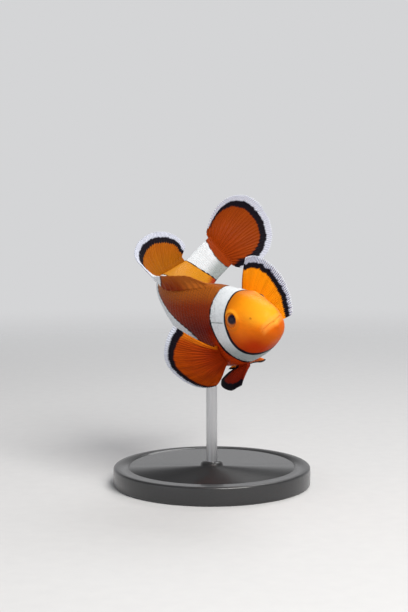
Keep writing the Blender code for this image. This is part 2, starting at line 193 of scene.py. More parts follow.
EYE_ANGLE = side_angle(*EYE_AT)
NOSTRIL_ANGLE = side_angle(*NOSTRIL_AT)
print("eye at", round(math.degrees(EYE_ANGLE)), "degrees from the back")

# %% [markdown]
# ## The swimming pose
# A fish bends sideways in an S, arches a little and rolls as it turns. The spine is walked in small
# steps from the head: at each step the frame turns a little about its up, left and forward
# directions, and moves back. Any straight point then rides on the frame at its own s.

# %% Pose values
HEADING = -60.0  # degrees, where the snout points, turned from +X
PITCH = 8.0  # snout up
BANK = 30.0  # left side up
BEND_AT = (0.00, 0.15, 0.30, 0.45, 0.60, 0.75, 0.90, 1.05, 1.30)  # s, for the three rows below
BEND_LEFT = (0.0, -0.7, -1.4, 4.5, 1.7, 3.1, 2.9, -0.2, 2.4)  # radians in one standard length
BEND_UP = (0.0, 0.5, 1.0, 0.7, -1.1, -1.3, -1.0, 0.1, -0.7)
TWIST = (0.0, 0.1, 0.25, 1.6, 1.95, 0.0, 0.3, -0.7, -0.7)
SPINE_STEPS = 260
ROD_AT = 0.50  # s where the rod meets the belly
ROD_LENGTH = 0.030  # metres
GAP = 0.0003  # metres between neighbouring solids


# %% Walk the spine
def turn(axis, amount):
    """Rotation matrix about one of the frame's own axes, 0 to 2, by the right-hand rule."""
    c, s = math.cos(amount), math.sin(amount)
    j, k = (axis + 1) % 3, (axis + 2) % 3
    matrix = np.eye(3)
    matrix[j, j] = matrix[k, k] = c
    matrix[k, j] = s
    matrix[j, k] = -s
    return matrix


def walk_spine():
    """Places and frames along the spine: frame times small turns, place minus one step forward."""
    step = BEND_AT[-1] / SPINE_STEPS
    middle = (np.arange(SPINE_STEPS) + 0.5) * step
    left, up, twist = (np.interp(middle, BEND_AT, bend) * step for bend in (BEND_LEFT, BEND_UP, TWIST))
    frame_here = turn(2, math.radians(HEADING)) @ turn(1, math.radians(-PITCH)) @ turn(0, math.radians(BANK))
    place = np.zeros(3)
    frames, places = [frame_here], [place]
    for i in range(SPINE_STEPS):
        turned = frame_here @ turn(2, -left[i]) @ turn(1, up[i]) @ turn(0, twist[i])
        place = place - step * (frame_here[:, 0] + turned[:, 0]) / 2
        frame_here = turned
        frames.append(frame_here)
        places.append(place)
    return np.array(frames), np.array(places)


spine_frames, spine_places = walk_spine()


# %% Place and directions at any s
def spine_axes(s):
    """Place, forward, left and dorsal direction at s, blended between the two nearest steps."""
    reach = np.clip(np.asarray(s, float), 0.0, BEND_AT[-1] - 1e-6) / BEND_AT[-1] * SPINE_STEPS
    low = reach.astype(int)
    part = (reach - low)[..., None]
    place = spine_places[low] * (1 - part) + spine_places[low + 1] * part
    ways = [spine_frames[low, :, k] * (1 - part) + spine_frames[low + 1, :, k] * part for k in range(3)]
    return place, *map(unit, ways)


def bend_unplaced(q):
    """Like bend, below, with the snout at the origin; a point ahead of s = 0 lies straight ahead."""
    place, forward, left, dorsal = spine_axes(q[..., 0])
    ahead = np.minimum(q[..., 0:1], 0.0)
    return STANDARD_LENGTH * (place - forward * ahead + left * q[..., 1:2] + dorsal * q[..., 2:3])


# %% Set the fish over the stand
rod_low, rod_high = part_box("stand_rod")
rod_axis = (np.array(rod_low[:2]) + np.array(rod_high[:2])) / 2
base_low, base_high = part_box("stand_base")
ring = bend_unplaced(on_body(ROD_AT, circle(720)))
touch = ring[ring[:, 2].argmin()]
start = np.array([rod_axis[0], rod_axis[1], rod_low[2] + ROD_LENGTH + GAP]) - touch


def bend(q):
    """World metres of fish coordinates: the spine's place plus y and z along its left and dorsal."""
    return start + bend_unplaced(q)


print("snout at", np.round(bend(np.zeros(3)) * 1000, 1), "mm")

# %% [markdown]
# ## Meshes from arrays
# Each piece is a grid of points, so its faces follow from the grid's shape. foreach_set hands whole
# arrays to Blender, which is far quicker than adding points one at a time. A closed piece is either a
# tube with a fan of triangles at each end, or a sheet with a top, a bottom and a rim.


# %% An object from arrays
def in_scene(name, data):
    made = bpy.data.objects.new(name, data)
    bpy.context.scene.collection.objects.link(made)
    return made


def mesh_object(name, points, faces, look, marks=None, rides=True):
    """An object at the origin from points and a list of face arrays, with named point attributes."""
    mesh = bpy.data.meshes.new(name)
    points = np.ascontiguousarray(points, np.float32).reshape(-1, 3)
    corners = np.concatenate([f.ravel() for f in faces]).astype(np.int32)
    sizes = np.concatenate([np.full(len(f), f.shape[1]) for f in faces])
    mesh.vertices.add(len(points))
    mesh.vertices.foreach_set("co", points.ravel())
    mesh.loops.add(len(corners))
    mesh.loops.foreach_set("vertex_index", corners)
    mesh.polygons.add(len(sizes))
    mesh.polygons.foreach_set("loop_start", np.concatenate([[0], np.cumsum(sizes)[:-1]]).astype(np.int32))
    mesh.update(calc_edges=True)
    for label, values in (marks or {}).items():
        layer = mesh.attributes.new(label, "FLOAT_VECTOR", "POINT")
        layer.data.foreach_set("vector", np.ascontiguousarray(values, np.float32).ravel())
    mesh.polygons.foreach_set("use_smooth", np.ones(len(sizes), bool))
    mesh.materials.append(look)
    made = in_scene(name, mesh)
    if rides:
        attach(made, "root")
    print(f"{name}: {len(points)} points, {int((sizes - 2).sum())} triangles")
    return made


# %% Faces of grids, tubes and sheets
def grid_faces(rows, columns, wrap=False, flip=False):
    """Quads between neighbouring rows; wrap joins the last column to the first."""
    i = np.arange(rows - 1)[:, None]
    j = np.arange(columns if wrap else columns - 1)[None, :]
    k = (j + 1) % columns
    low, high = i * columns, (i + 1) * columns
    quads = np.stack([low + j, low + k, high + k, high + j], -1).reshape(-1, 4)
    return quads[:, ::-1] if flip else quads


def tube(name, rings, look, marks=None, flip=False):
    """A closed tube: rings of points, with a pole at the middle of the first and the last ring."""
    rows, columns = rings.shape[:2]
    poles = np.stack([rings[0].mean(0), rings[-1].mean(0)])
    points = np.vstack([rings.reshape(-1, 3), poles])
    j = np.arange(columns)
    k = (j + 1) % columns
    first, last = rows * columns, rows * columns + 1
    start_fan = np.stack([np.full(columns, first), k, j], -1)
    end_fan = np.stack([np.full(columns, last), (rows - 1) * columns + j, (rows - 1) * columns + k], -1)
    faces = [grid_faces(rows, columns, wrap=True), start_fan, end_fan]
    if flip:
        faces = [f[:, ::-1] for f in faces]
    marks = {
        label: np.vstack([v.reshape(-1, 3), v[0].mean(0)[None], v[-1].mean(0)[None]])
        for label, v in (marks or {}).items()
    }
    return mesh_object(name, points, faces, look, marks)


def sheet_rim(rows, columns):
    """Indices round the edge of a grid, in order."""
    top = np.arange(columns)
    right = np.arange(1, rows) * columns + columns - 1
    bottom = (rows - 1) * columns + np.arange(columns - 2, -1, -1)
    left = np.arange(rows - 2, 0, -1) * columns
    return np.concatenate([top, right, bottom, left])


# %% [markdown]
# ## Shader sums written as Python
# A material is a web of small nodes. Writing `1 - mask` is easier to read than wiring a Math node, so
# one small class wraps a socket and turns Python's operators into nodes. Everything else comes from
# one method that sets a node's settings first and then its sockets.


# %% Wires
class Wire:
    """A number that varies over a surface. Arithmetic on it adds Math nodes."""

    def __init__(self, look, socket):
        self.look = look
        self.socket = socket

    def sum_with(self, operation, first, second):
        made = self.look.node("ShaderNodeMath", {"operation": operation}, {0: first, 1: second})
        return Wire(self.look, made.outputs[0])

    def __add__(self, other):
        return self.sum_with("ADD", self, other)

    def __sub__(self, other):
        return self.sum_with("SUBTRACT", self, other)

    def __rsub__(self, other):
        return self.sum_with("SUBTRACT", other, self)

    def __mul__(self, other):
        return self.sum_with("MULTIPLY", self, other)

    __radd__ = __add__
    __rmul__ = __mul__


# %% Node trees
def as_colour(value):
    return (*value, 1.0) if isinstance(value, tuple) and len(value) == 3 else value


def set_stops(ramp, stops):
    """Gives a colour ramp its (place, colour) stops; a new ramp has two already."""
    for place, _ in stops[1:-1]:
        ramp.elements.new(place)
    for element, (place, colour) in zip(ramp.elements, stops):
        element.position, element.color = place, as_colour(colour)


class Tree:
    """The nodes of a material or of the world."""

    def __init__(self, owner):
        owner.use_nodes = True
        self.nodes = owner.node_tree.nodes
        self.links = owner.node_tree.links

    def node(self, kind, settings=None, inputs=None):
        """Adds one node: its settings or ramp stops first, then its sockets, each a value or a link."""
        made = self.nodes.new(kind)
        for label, value in (settings or {}).items():
            if label == "stops":
                set_stops(made.color_ramp, value)
            else:
                setattr(made, label, value)
        for label, value in (inputs or {}).items():
            self.feed(made.inputs[label], value)
        return made

    def feed(self, socket, value):
        """Links a wire or a socket to this socket, or sets its value."""
        if isinstance(value, Wire):
            self.links.new(value.socket, socket)
        elif isinstance(value, bpy.types.NodeSocket):
            self.links.new(value, socket)
        else:
            socket.default_value = value


# %% Looks
class Look(Tree):
    """A material under construction."""

    def __init__(self, name, **uniform):
        self.material = bpy.data.materials.new(name)
        super().__init__(self.material)
        self.shader = self.nodes["Principled BSDF"]
        self.finish(**uniform)

    def mark(self, label):
        """The three numbers of a named attribute of the mesh."""
        attribute = self.node("ShaderNodeAttribute", {"attribute_name": label})
        parts = self.node("ShaderNodeSeparateXYZ", None, {"Vector": attribute.outputs["Vector"]})
        return [Wire(self, parts.outputs[k]) for k in range(3)]

    def smooth(self, value, low, high):
        """0 below low, 1 above high, and an S between them."""
        settings = {"interpolation_type": "SMOOTHSTEP"}
        inputs = {"Value": value, "From Min": low, "From Max": high}
        return Wire(self, self.node("ShaderNodeMapRange", settings, inputs).outputs["Result"])

    def fade(self, value, low, high):
        """1 below low, 0 above high, and an S between them."""
        return 1 - self.smooth(value, low, high)

    def noise(self, size, detail=3.0, stretch=(1.0, 1.0, 1.0)):
        """Cloudy noise, 0 to 1, with lumps about size metres across."""
        place = self.node("ShaderNodeTexCoord").outputs["Object"]
        scaled = self.node("ShaderNodeVectorMath", {"operation": "MULTIPLY"}, {0: place, 1: stretch})
        return self.noise_at(scaled.outputs[0], 1.0 / size, detail)

    def noise_at(self, place, scale, detail=3.0):
        inputs = {"Vector": place, "Scale": scale, "Detail": detail}
        return Wire(self, self.node("ShaderNodeTexNoise", None, inputs).outputs["Fac"])

    def sine(self, value):
        return Wire(self, self.node("ShaderNodeMath", {"operation": "SINE"}, {0: value}).outputs[0])

    def mix(self, share, first, second):
        """Colour first where share is 0, second where it is 1."""
        inputs = {0: share, 6: as_colour(first), 7: as_colour(second)}
        return self.node("ShaderNodeMix", {"data_type": "RGBA"}, inputs).outputs[2]

    def layers(self, colour, *paints):
        """The colour under layers of paint, each a share and a colour, the top layer last."""
        for share, paint in paints:
            colour = self.mix(share, colour, paint)
        return colour

    def bump(self, height, distance):
        return self.node("ShaderNodeBump", None, {"Height": height, "Distance": distance}).outputs["Normal"]

    def finish(self, **inputs):
        """Feeds the shader's sockets, such as base_color, and gives back the material."""
        for label, value in inputs.items():
            self.feed(self.shader.inputs[label.replace("_", " ").title().replace("Ior", "IOR")], value)
        return self.material


# %% [markdown]
# ## Markings of the body
# A clownfish wears three white bands with thin black edges over orange, and this one a brown saddle
# on its back between the first two. The marks follow the body, so they are written in s and in the
# cosine c of the angle round the section, which every skin and scale point carries as the attribute
# "lie". Painting an image would also work, but a formula stays sharp and can be edited. Each edge is
# a sum of a, b c, d (2 c^2 - 1) and so on: the curves that cos, cos 2, cos 3 and cos 4 of the angle make.
# The colours below also carry painted light from above: lighter on top, painted shade low on the body, and
# painted light and shade round the eye, mouth, nostril and first band.

# %% Where the bands lie
# Each band has a front and a rear edge, and beside each a black line that is a + b c millimetres wide.
BANDS = {
    "cheek": {
        "front": (0.1707, 0.0119, -0.0267, 0.0093, -0.0027), "front_line": (0.95, -0.50),
        "rear": (0.254, -0.0011, -0.0186, -0.003), "rear_line": (0.70, -0.52),
    },
    "flank": {
        "front": (0.4800, 0.0624, 0.0835, 0.0014, -0.0119), "front_line": (0.46, 0.0),
        "rear": (0.6273, 0.0449, 0.0279, 0.011), "rear_line": (0.44, 0.0),
    },
    "stalk": {
        "front": (0.8823, -0.0201, 0.0077, 0.0018), "front_line": (0.32, 0.0),
        "rear": (0.9885, 0.0041, 0.0101, -0.0009), "rear_line": (0.10, 0.0),
    },
}
BAND_SOFTNESS = 0.11 * MM  # half the width over which an edge fades
BAND_WOBBLE = 0.20 * MM  # how far the cloudy noise moves an edge


def edge_line(terms, c):
    """s of an edge: terms[k] times the k-th cosine polynomial of c, for numbers, arrays or wires."""
    powers = [1.0, c, 2 * (c * c) - 1]
    while len(powers) < len(terms):
        powers.append(2 * (c * powers[-1]) - powers[-2])
    total = terms[0]
    for term, power in zip(terms[1:], powers[1:]):
        total = total + term * power
    return total


def gill_margin(angle):
    """s of the rear edge of the gill covers, which is the rear edge of the first band."""
    return edge_line(BANDS["cheek"]["rear"], np.cos(angle))


# %% Colours of the living fish, with painted light and shade
BLACK = (0.0, 0.0, 0.0)
# painted light from above on the top of the head and the forehead
FACE_TOP_PAINTED_LIGHT = (0.95, 0.30, 0.003)
FOREHEAD_PAINTED_HIGHLIGHT = (1.0, 0.42, 0.016)
FACE_MIDDLE = (0.92, 0.19, 0.0005)
# painted shade low on the face and under the chin
FACE_LOW_PAINTED_SHADE = (0.50, 0.034, 0.0005)
CHIN_PAINTED_SHADE = (0.66, 0.112, 0.0008)
# peach lips: a paler lip colour with a painted highlight on it
LIP_PALE_AND_HIGHLIGHT = (0.98, 0.36, 0.055)
# painted shade in the mouth's crease
MOUTH_CREASE_SHADE = (0.45, 0.10, 0.01)
# painted shade in the nostril's pit
NOSTRIL_PIT_SHADE = (0.28, 0.05, 0.003)
# painted shade on the face beside the first band, low and high
CHEEK_PAINTED_SHADE = (0.36, 0.035, 0.001)
BROW_PAINTED_SHADE = (0.42, 0.085, 0.004)
# a painted highlight over the eye and a painted shadow under it
EYE_RING_HIGHLIGHT = (1.0, 0.38, 0.015)
EYE_POUCH_SHADOW = (0.40, 0.14, 0.012)
SADDLE = (0.25, 0.026, 0.002)
# painted shade of maroon low on the saddle
SADDLE_LOW_SHADE = (0.16, 0.005, 0.0003)
# painted highlight of tan where light from above falls on the ridge
SADDLE_RIDGE_HIGHLIGHT = (0.38, 0.098, 0.011)
# painted shade of red orange low on the body
BELLY_PAINTED_SHADE = (0.42, 0.033, 0.0005)
FLANK = (0.66, 0.26, 0.012)
TAIL_ROOT = (0.29, 0.036, 0.0005)
BAND_WHITE = (0.75, 0.78, 0.81)
# grey for painted shade on the lower bands and in the notch, and for their pearly mottling
BAND_GREY_SHADE_AND_MOTTLE = (0.28, 0.32, 0.315)
EDGE_BLACK = (0.006, 0.004, 0.008)


# %% Face and trunk
EYE_C, NOSTRIL_C = math.cos(EYE_ANGLE), math.cos(NOSTRIL_ANGLE)
NOSTRIL_SIZE = (0.0055, 0.050)  # in s and in c


def face_colour(look, s, c, shade_near_band):
    """Yellow orange on the forehead, deepening to red orange under the cheek, with peach lips: painted light
    from above on top and painted shade below, with more painted light and shade round the eye, mouth,
    nostril and band.
    """
    mouth, eye, opening = look.mark("head")
    forehead_highlight = look.smooth(c, 0.10, 0.70) * look.fade(s, 0.01, 0.13)
    lips = opening * look.fade(mouth * mouth, 0.2, 2.6)
    crease = opening * look.fade(mouth * mouth, 0.004, 0.060)
    along, aside = (s - NOSTRIL_AT[0]) * (1 / NOSTRIL_SIZE[0]), (c - NOSTRIL_C) * (1 / NOSTRIL_SIZE[1])
    nostril = look.fade(along * along + aside * aside, 0.2, 1.3)
    over_eye = look.smooth(c, EYE_C - 0.04, EYE_C + 0.12)
    # a ring round the eye for its painted highlight above and painted shadow below
    ring = look.smooth(eye, 1.9, 2.2) * look.fade(eye, 2.5, 3.2)
    return look.layers(
        # painted shade under the cheek and chin
        look.mix(look.smooth(s, 0.02, 0.10), CHIN_PAINTED_SHADE, FACE_LOW_PAINTED_SHADE),
        (look.smooth(c, -0.55, 0.30), FACE_MIDDLE),
        # painted light from above on the top of the head and the forehead
        (look.smooth(c, 0.35, 1.0), FACE_TOP_PAINTED_LIGHT),
        (forehead_highlight * 0.9, FOREHEAD_PAINTED_HIGHLIGHT),
        # paler lips with a painted highlight on them
        (lips * 0.60, LIP_PALE_AND_HIGHLIGHT),
        # painted shade along the mouth's crease
        (crease * 0.22, MOUTH_CREASE_SHADE),
        # painted shade in the nostril's pit
        (nostril * 0.45, NOSTRIL_PIT_SHADE),
        # painted shade on the face beside the first band
        (shade_near_band * 0.70, look.mix(look.smooth(c, -0.10, 0.40), CHEEK_PAINTED_SHADE, BROW_PAINTED_SHADE)),
        # painted highlight above the eye, then painted shadow below it
        (ring * (over_eye * 0.75), EYE_RING_HIGHLIGHT),
        (ring * ((1 - over_eye) * 0.22), EYE_POUCH_SHADOW),
    )


def trunk_colour(look, s, c):
    """The saddle from a painted tan highlight on the ridge to painted maroon shade on the flank, painted red
    orange shade below, orange behind.
    """
    saddle = look.layers(
        SADDLE,
        # painted highlight of tan on the ridge
        (look.smooth(c, 0.70, 1.0), SADDLE_RIDGE_HIGHLIGHT),
        # painted shade of maroon low on the saddle
        (look.smooth(0.75 - c, 0.0, 0.60), SADDLE_LOW_SHADE),
        # painted shade of red orange low on the body
        (look.smooth(0.30 - c, 0.0, 0.55), BELLY_PAINTED_SHADE),
    )
    # the orange flank turns to painted red orange shade below
    flank = look.mix(look.smooth(0.0 - c, 0.35, 0.85), FLANK, BELLY_PAINTED_SHADE)
    rear = look.mix(look.smooth(s, 0.95, 0.99), flank, TAIL_ROOT)
    return look.mix(look.smooth(s, 0.58, 0.62), saddle, rear)


# %% Lines, bands and the whole body
def notch_shade(look, s, c):
    """1 on the thin dark line behind the notch of the gill cover: painted shade in the notch's groove."""
    from_notch = (c - NOTCH_C) * (1 / 0.022)
    notch = look.fade(from_notch * from_notch, 0.0, 1.0) * look.smooth(s, 0.185, 0.205) * 0.80
    return notch * look.fade(s, 0.27, 0.28)


def body_colour(look):
    """Base colour from the lie (s, cos, sin) of each point: face and trunk, then lines, then bands."""
    s, c, _ = look.mark("lie")
    cloud = look.noise(0.0016, 4.0)
    s = s + (cloud - 0.5) * BAND_WOBBLE
    cheek_front = edge_line(BANDS["cheek"]["front"], c)
    # where the painted shade beside the first band falls
    shade_near_band = look.smooth(s, cheek_front - 0.085, cheek_front + 0.005)
    white, black = 0.0, 0.0
    soft = BAND_SOFTNESS
    for band in BANDS.values():
        front, rear = edge_line(band["front"], c), edge_line(band["rear"], c)
        ahead, behind = ((a + b * c) * MM for a, b in (band["front_line"], band["rear_line"]))
        white = look.smooth(s, front - soft, front + soft) * look.fade(s, rear - soft, rear + soft) + white
        first, last = front - ahead, rear + behind
        outside = look.smooth(s, first - 2 * soft, first + soft)
        black = outside * look.fade(s, last - soft, last + 2 * soft) + black
    pearl = look.noise(0.0007, 3.0)
    # the white bands turn grey towards the belly as painted shade, with a little pearly mottling
    shade_and_mottle = look.smooth(0.10 - c, 0.0, 0.70) * 0.85 + look.smooth(pearl, 0.45, 0.70) * 0.12
    return look.layers(
        face_colour(look, s, c, shade_near_band),
        (look.smooth(s, cheek_front, cheek_front + 0.01), trunk_colour(look, s, c)),
        (black, EDGE_BLACK),
        # white bands, greyed by painted shade towards the belly and along the notch, and by pearly mottling
        (white, look.layers(BAND_WHITE, (shade_and_mottle, BAND_GREY_SHADE_AND_MOTTLE), (notch_shade(look, s, c), BAND_GREY_SHADE_AND_MOTTLE))),
        ((cloud - 0.35) * 0.15, BLACK),
    )


# %% Skin and scale materials
MOIST = dict(specular_ior_level=0.08, coat_weight=0.03, coat_roughness=0.30)
GROWTH_RINGS = 46.0  # radians of the ring wave from root to edge, about seven rings


def make_skin_look():
    """Moist skin: a fine grain of pores and slime, glossier where it is smooth."""
    look = Look("moist skin", **MOIST)
    grain = look.noise(0.00035, 5.0)
    normal = look.bump(grain * 0.7 + look.noise(0.0012, 2.0) * 0.6, 0.00004)
    return look.finish(base_color=body_colour(look), roughness=0.40 + grain * 0.16, normal=normal)


def make_scale_look():
    """A scale: growth rings run round it from its root, marks as on the skin below."""
    look = Look("scales", **MOIST)
    across, along, _ = look.mark("blade")
    ring = look.sine((along * along + across * across * 0.35) * GROWTH_RINGS)
    rough = 0.40 + look.noise(0.0006, 3.0) * 0.16
    return look.finish(base_color=body_colour(look), roughness=rough, normal=look.bump(ring, 0.000003))


skin_look = make_skin_look()
scale_look = make_scale_look()
print("nodes in the looks:", [len(look.node_tree.nodes) for look in (skin_look, scale_look)])

# %% [markdown]
# ## Relief of the head
# A fish's head is smooth, but it isn't a plain egg. The gill cover is a stiff plate whose rear edge
# stands over a slit; the eye sits in a shallow ring; the lips roll out round the mouth and a nostril
# opens in front of the eye. Each of these is a small height added along the outward direction, so
# all of them are sums of soft steps and bells in s and angle.

# %% Soft steps and bells
def soft_step(x, low, high):
    """0 below low, 1 above high, three t squared minus two t cubed between."""
    t = np.clip((x - low) / (high - low), 0.0, 1.0)
    return t * t * (3 - 2 * t)


def bell(x, width):
    """1 at 0, falling to nearly 0 at twice the width."""
    return np.exp(-((x / width) ** 2))


def distance_from(s, angle, at_s, at_angle):
    """Straight-line distance in fish coordinates from a place that is on both sides of the body."""
    here = on_body(s, np.abs(np.mod(angle + math.pi, 2 * math.pi) - math.pi))
    there = on_body(at_s, at_angle)
    return np.linalg.norm(here - there, axis=-1)


def from_eye(s, angle, higher=0.0):
    return distance_from(s, angle, EYE_AT[0], EYE_ANGLE - higher)


# %% Relief of the mouth
SLIT_DEPTH, LIP_HEIGHT, LIP_FOLD = 0.20 * MM, 0.10 * MM, 0.07 * MM


def from_mouth(q):
    """Height of a point over the mouth line, which falls as 16 times the square of s."""
    return q[..., 2] - (MOUTH_HIGH - 16.0 * np.maximum(q[..., 0], 0.0) ** 2)


def mouth_opening(q):
    """1 on the lips, 0 behind the corners of the mouth."""
    return 1 - soft_step(q[..., 0], MOUTH_CORNER - 0.016, MOUTH_CORNER + 0.006)


def mouth_relief(q):
    """A shallow crease of bell section along the mouth line, between two soft lips with a fold behind."""
    off = from_mouth(q)
    slit = -SLIT_DEPTH * bell(off, 0.17 * MM)
    lips = LIP_HEIGHT * (bell(off - 0.50 * MM, 0.42 * MM) + bell(off + 0.50 * MM, 0.46 * MM))
    behind_lips = -LIP_FOLD * (bell(off - 1.45 * MM, 0.45 * MM) + bell(off + 1.45 * MM, 0.45 * MM))
    return mouth_opening(q) * (slit + lips + behind_lips)


# %% Relief of the gill cover, eye, nostril and lateral line
GILL_DROP, GILL_CREASE, NOTCH_DEPTH = 0.36 * MM, 0.07 * MM, 0.16 * MM
EYE_MOUND, BROW_HEIGHT, EYE_RIM, EYE_TROUGH = 0.20 * MM, 0.34 * MM, 0.08 * MM, 1.5 * MM
NOSTRIL_RIM, NOSTRIL_DEPTH = 0.06 * MM, 0.22 * MM
LINE_DEPTH = 0.04 * MM


def gill_relief(s, angle):
    """The gill slit: a sharp drop behind the margin that fills up again further back."""
    c = np.cos(angle)
    on_side = soft_step(c, -0.97, -0.80) * (1 - soft_step(c, 0.20, 0.42))
    behind = s - gill_margin(angle)
    drop = soft_step(behind, -0.25 * MM, 0.10 * MM) * (1 - soft_step(behind, 0.3 * MM, 3.2 * MM))
    crease = bell(s - (0.168 + 0.040 * (c + 0.3) ** 2), 0.35 * MM)
    notch = bell((c - NOTCH_C) * 0.15, 0.16 * MM) * soft_step(s, 0.195, 0.215)
    notch = notch * (1 - soft_step(behind, 0.0, 0.01))
    return on_side * (-GILL_DROP * drop - GILL_CREASE * crease) - NOTCH_DEPTH * notch


def eye_relief(s, angle):
    """The eye stands on a low mound under a soft brow; its rim hugs the eyeball over a trough."""
    r = from_eye(s, angle)
    above = from_eye(s, angle, higher=0.34)
    mound = EYE_MOUND * (1 - soft_step(r, 1.9 * MM, 4.0 * MM))
    brow = BROW_HEIGHT * bell(above, 1.5 * MM) * soft_step(r, 1.5 * MM, 2.1 * MM)
    rim = EYE_RIM * bell(r - 2.05 * MM, 0.25 * MM)
    return mound + brow + rim - EYE_TROUGH * (1 - soft_step(r, 1.2 * MM, 1.78 * MM))


def nostril_relief(s, angle):
    """A fine rim, a bell round its own radius, and a pit of bell section in its middle."""
    r = distance_from(s, angle, NOSTRIL_AT[0], NOSTRIL_ANGLE)
    return NOSTRIL_RIM * bell(r - 0.32 * MM, 0.14 * MM) - NOSTRIL_DEPTH * bell(r, 0.16 * MM)


def lateral_line_relief(s, angle):
    """A faint channel that runs high on the flank and follows the back."""
    line = 0.52 - 0.25 * soft_step(s, 0.70, 0.85)
    return -LINE_DEPTH * bell((np.cos(angle) - line) * 0.17, 0.22 * MM) * soft_step(s, 0.26, 0.30)


# %% Height and place of the skin
def relief(s, angle, q):
    """All heights together, less the depth that the coat of scales fills."""
    parts = (gill_relief, eye_relief, nostril_relief, lateral_line_relief)
    return sum(part(s, angle) for part in parts) + mouth_relief(q) - COAT_DEPTH


def skin_point(s, angle, height=0.0):
    """World place of a point on the skin, raised by height in fish coordinates."""
    q = on_body(s, angle)
    lift = relief(s, angle, q) + height
    return bend(q + outward(s, angle) * lift[..., None])


def head_marks(q, s, angle):
    """Millimetres from the mouth line, millimetres from the eye's centre, and the mouth's opening."""
    return np.stack([from_mouth(q) / MM, from_eye(s, angle) / MM, mouth_opening(q)], -1)


# %% The blunt tip of the snout
AROUND = 240  # points round the body
SNOUT_BULGE = 0.0065  # how far the snout rounds out in front of s = 0
angles = circle(AROUND)[None, :]


def snout_cap(depth):
    """Rings that shrink to the pole at s = 0, pushed forward by a bulge times 1 minus depth squared."""
    q = on_body(np.zeros_like(depth), angles, depth)
    q[..., 0] = -SNOUT_BULGE * (1 - depth**2)
    ahead = np.stack([-1.0 - 0 * q[..., 0], 0 * q[..., 0], 0 * q[..., 0]], -1)
    side = outward(np.full_like(depth, 0.002), angles)
    way = unit(ahead * (1 - depth[..., None] ** 2) + side * depth[..., None] ** 2)
    return bend(q + way * (mouth_relief(q) - COAT_DEPTH)[..., None]), q


# %% Build the skin
HEAD_END, SKIN_END = 0.27, 1.032  # s where the fine rows of the head and the skin end
NO_EYE = 9.0  # millimetres from the eye, far enough to leave the snout unmarked
CAP_ROWS, HEAD_ROWS, TRUNK_ROWS = 26, 120, 155
cap_depth = np.linspace(0.03, 0.97, CAP_ROWS)[:, None] ** 0.8
cap_points, cap_q = snout_cap(cap_depth)
head_s = HEAD_END * np.linspace(0, 1, HEAD_ROWS) ** 1.6
trunk_s = np.linspace(HEAD_END, SKIN_END, TRUNK_ROWS + 1)[1:]
s_grid, angle_grid = np.broadcast_arrays(np.concatenate([head_s, trunk_s])[:, None], angles)
body_q = on_body(s_grid, angle_grid)
lie = np.stack([s_grid, np.cos(angle_grid), np.sin(angle_grid)], -1)
cap_lie = np.stack([0 * cap_q[..., 0], cap_depth * np.cos(angles), cap_depth * np.sin(angles)], -1)
cap_head = np.stack([from_mouth(cap_q) / MM, 0 * cap_q[..., 0] + NO_EYE, mouth_opening(cap_q)], -1)
skin_marks = {
    "lie": np.vstack([cap_lie, lie]),
    "head": np.vstack([cap_head, head_marks(body_q, s_grid, angle_grid)]),
}
skin = tube("skin", np.vstack([cap_points, skin_point(s_grid, angle_grid)]), skin_look, skin_marks)
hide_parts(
    "head", "lower_jaw", "gill_cover_left", "gill_cover_right",
    "trunk_front", "trunk_rear", "tail_stalk",
)

# %% [markdown]
# ## The coat of scales
# A clownfish is covered by some thousands of thin overlapping scales, each rooted in the skin in
# front and free behind, in rows shifted by half a scale. Blender could scatter copies of one scale,
# but copies are lost when the model is exported. Here one small scale is repeated by
# broadcasting: an array of roots times an array of scale points gives every point at once.

# %% Where the scales are rooted
SCALE_ZONES = (  # s from, s to, scales round the body, rows
    (0.104, 0.186, 88, 10),
    (0.186, 0.262, 74, 7),
    (0.262, 0.660, 80, 27),
    (0.660, 0.840, 58, 14),
    (0.840, 1.002, 44, 15),
)
BARE_ROUND_EYE = 2.7 * MM


def even_angles(s, count, shift):
    """Angles that cut the section at s into equal lengths of skin, starting shift of a length on."""
    fine = np.linspace(0, 2 * math.pi, 721)
    edge = on_body(np.full_like(fine, s), fine)
    run = np.concatenate([[0], np.cumsum(np.linalg.norm(np.diff(edge, axis=0), axis=1))])
    return np.interp((np.arange(count) + shift) / count * run[-1], run, fine), run[-1] / count


def scale_roots():
    """One row per scale: s, angle, row spacing, spacing round the body, in fish coordinates."""
    found = []
    for low, high, count, lines in SCALE_ZONES:
        gap = (high - low) / lines
        for k in range(lines):
            s = low + gap * (k + 0.5)
            angle, apart = even_angles(s, count, 0.25 + 0.5 * (k % 2))
            found.append(np.stack([np.full(count, s), angle, np.full(count, gap), np.full(count, apart)], 1))
    return np.concatenate(found)


roots = scale_roots()
roots = roots[from_eye(roots[:, 0], roots[:, 1]) >= BARE_ROUND_EYE]
print(len(roots), "scales")


# %% One scale
ACROSS, ALONG = 5, 4  # points of its grid
SCALE_LENGTH = 1.9  # in row spacings, so that its free edge lies over the next row
SCALE_HALF_WIDTH = 0.62  # in spacings round the body
ROOT_SHARE = 0.35  # of the length lies in front of the root
PATCH = 0.003  # width of a scale's patch on the unwrap
UNWRAP = (0.02, 0.95)  # where the body starts on the unwrap and how much of it the body takes


def scale_blade():
    """(across, along) of one scale: a square grid pressed into a shield with a round free edge."""
    a = np.linspace(-1, 1, ACROSS)[None, :]
    b = np.linspace(0, 1, ALONG)[:, None]
    width = 0.62 + 0.38 * np.sin(math.pi * np.minimum(b, 0.62) / 0.62 / 2)
    reach = b * (1 - 0.30 * a**2)
    return np.stack([a * width * np.ones_like(b), reach * np.ones_like(a)], -1).reshape(-1, 2)


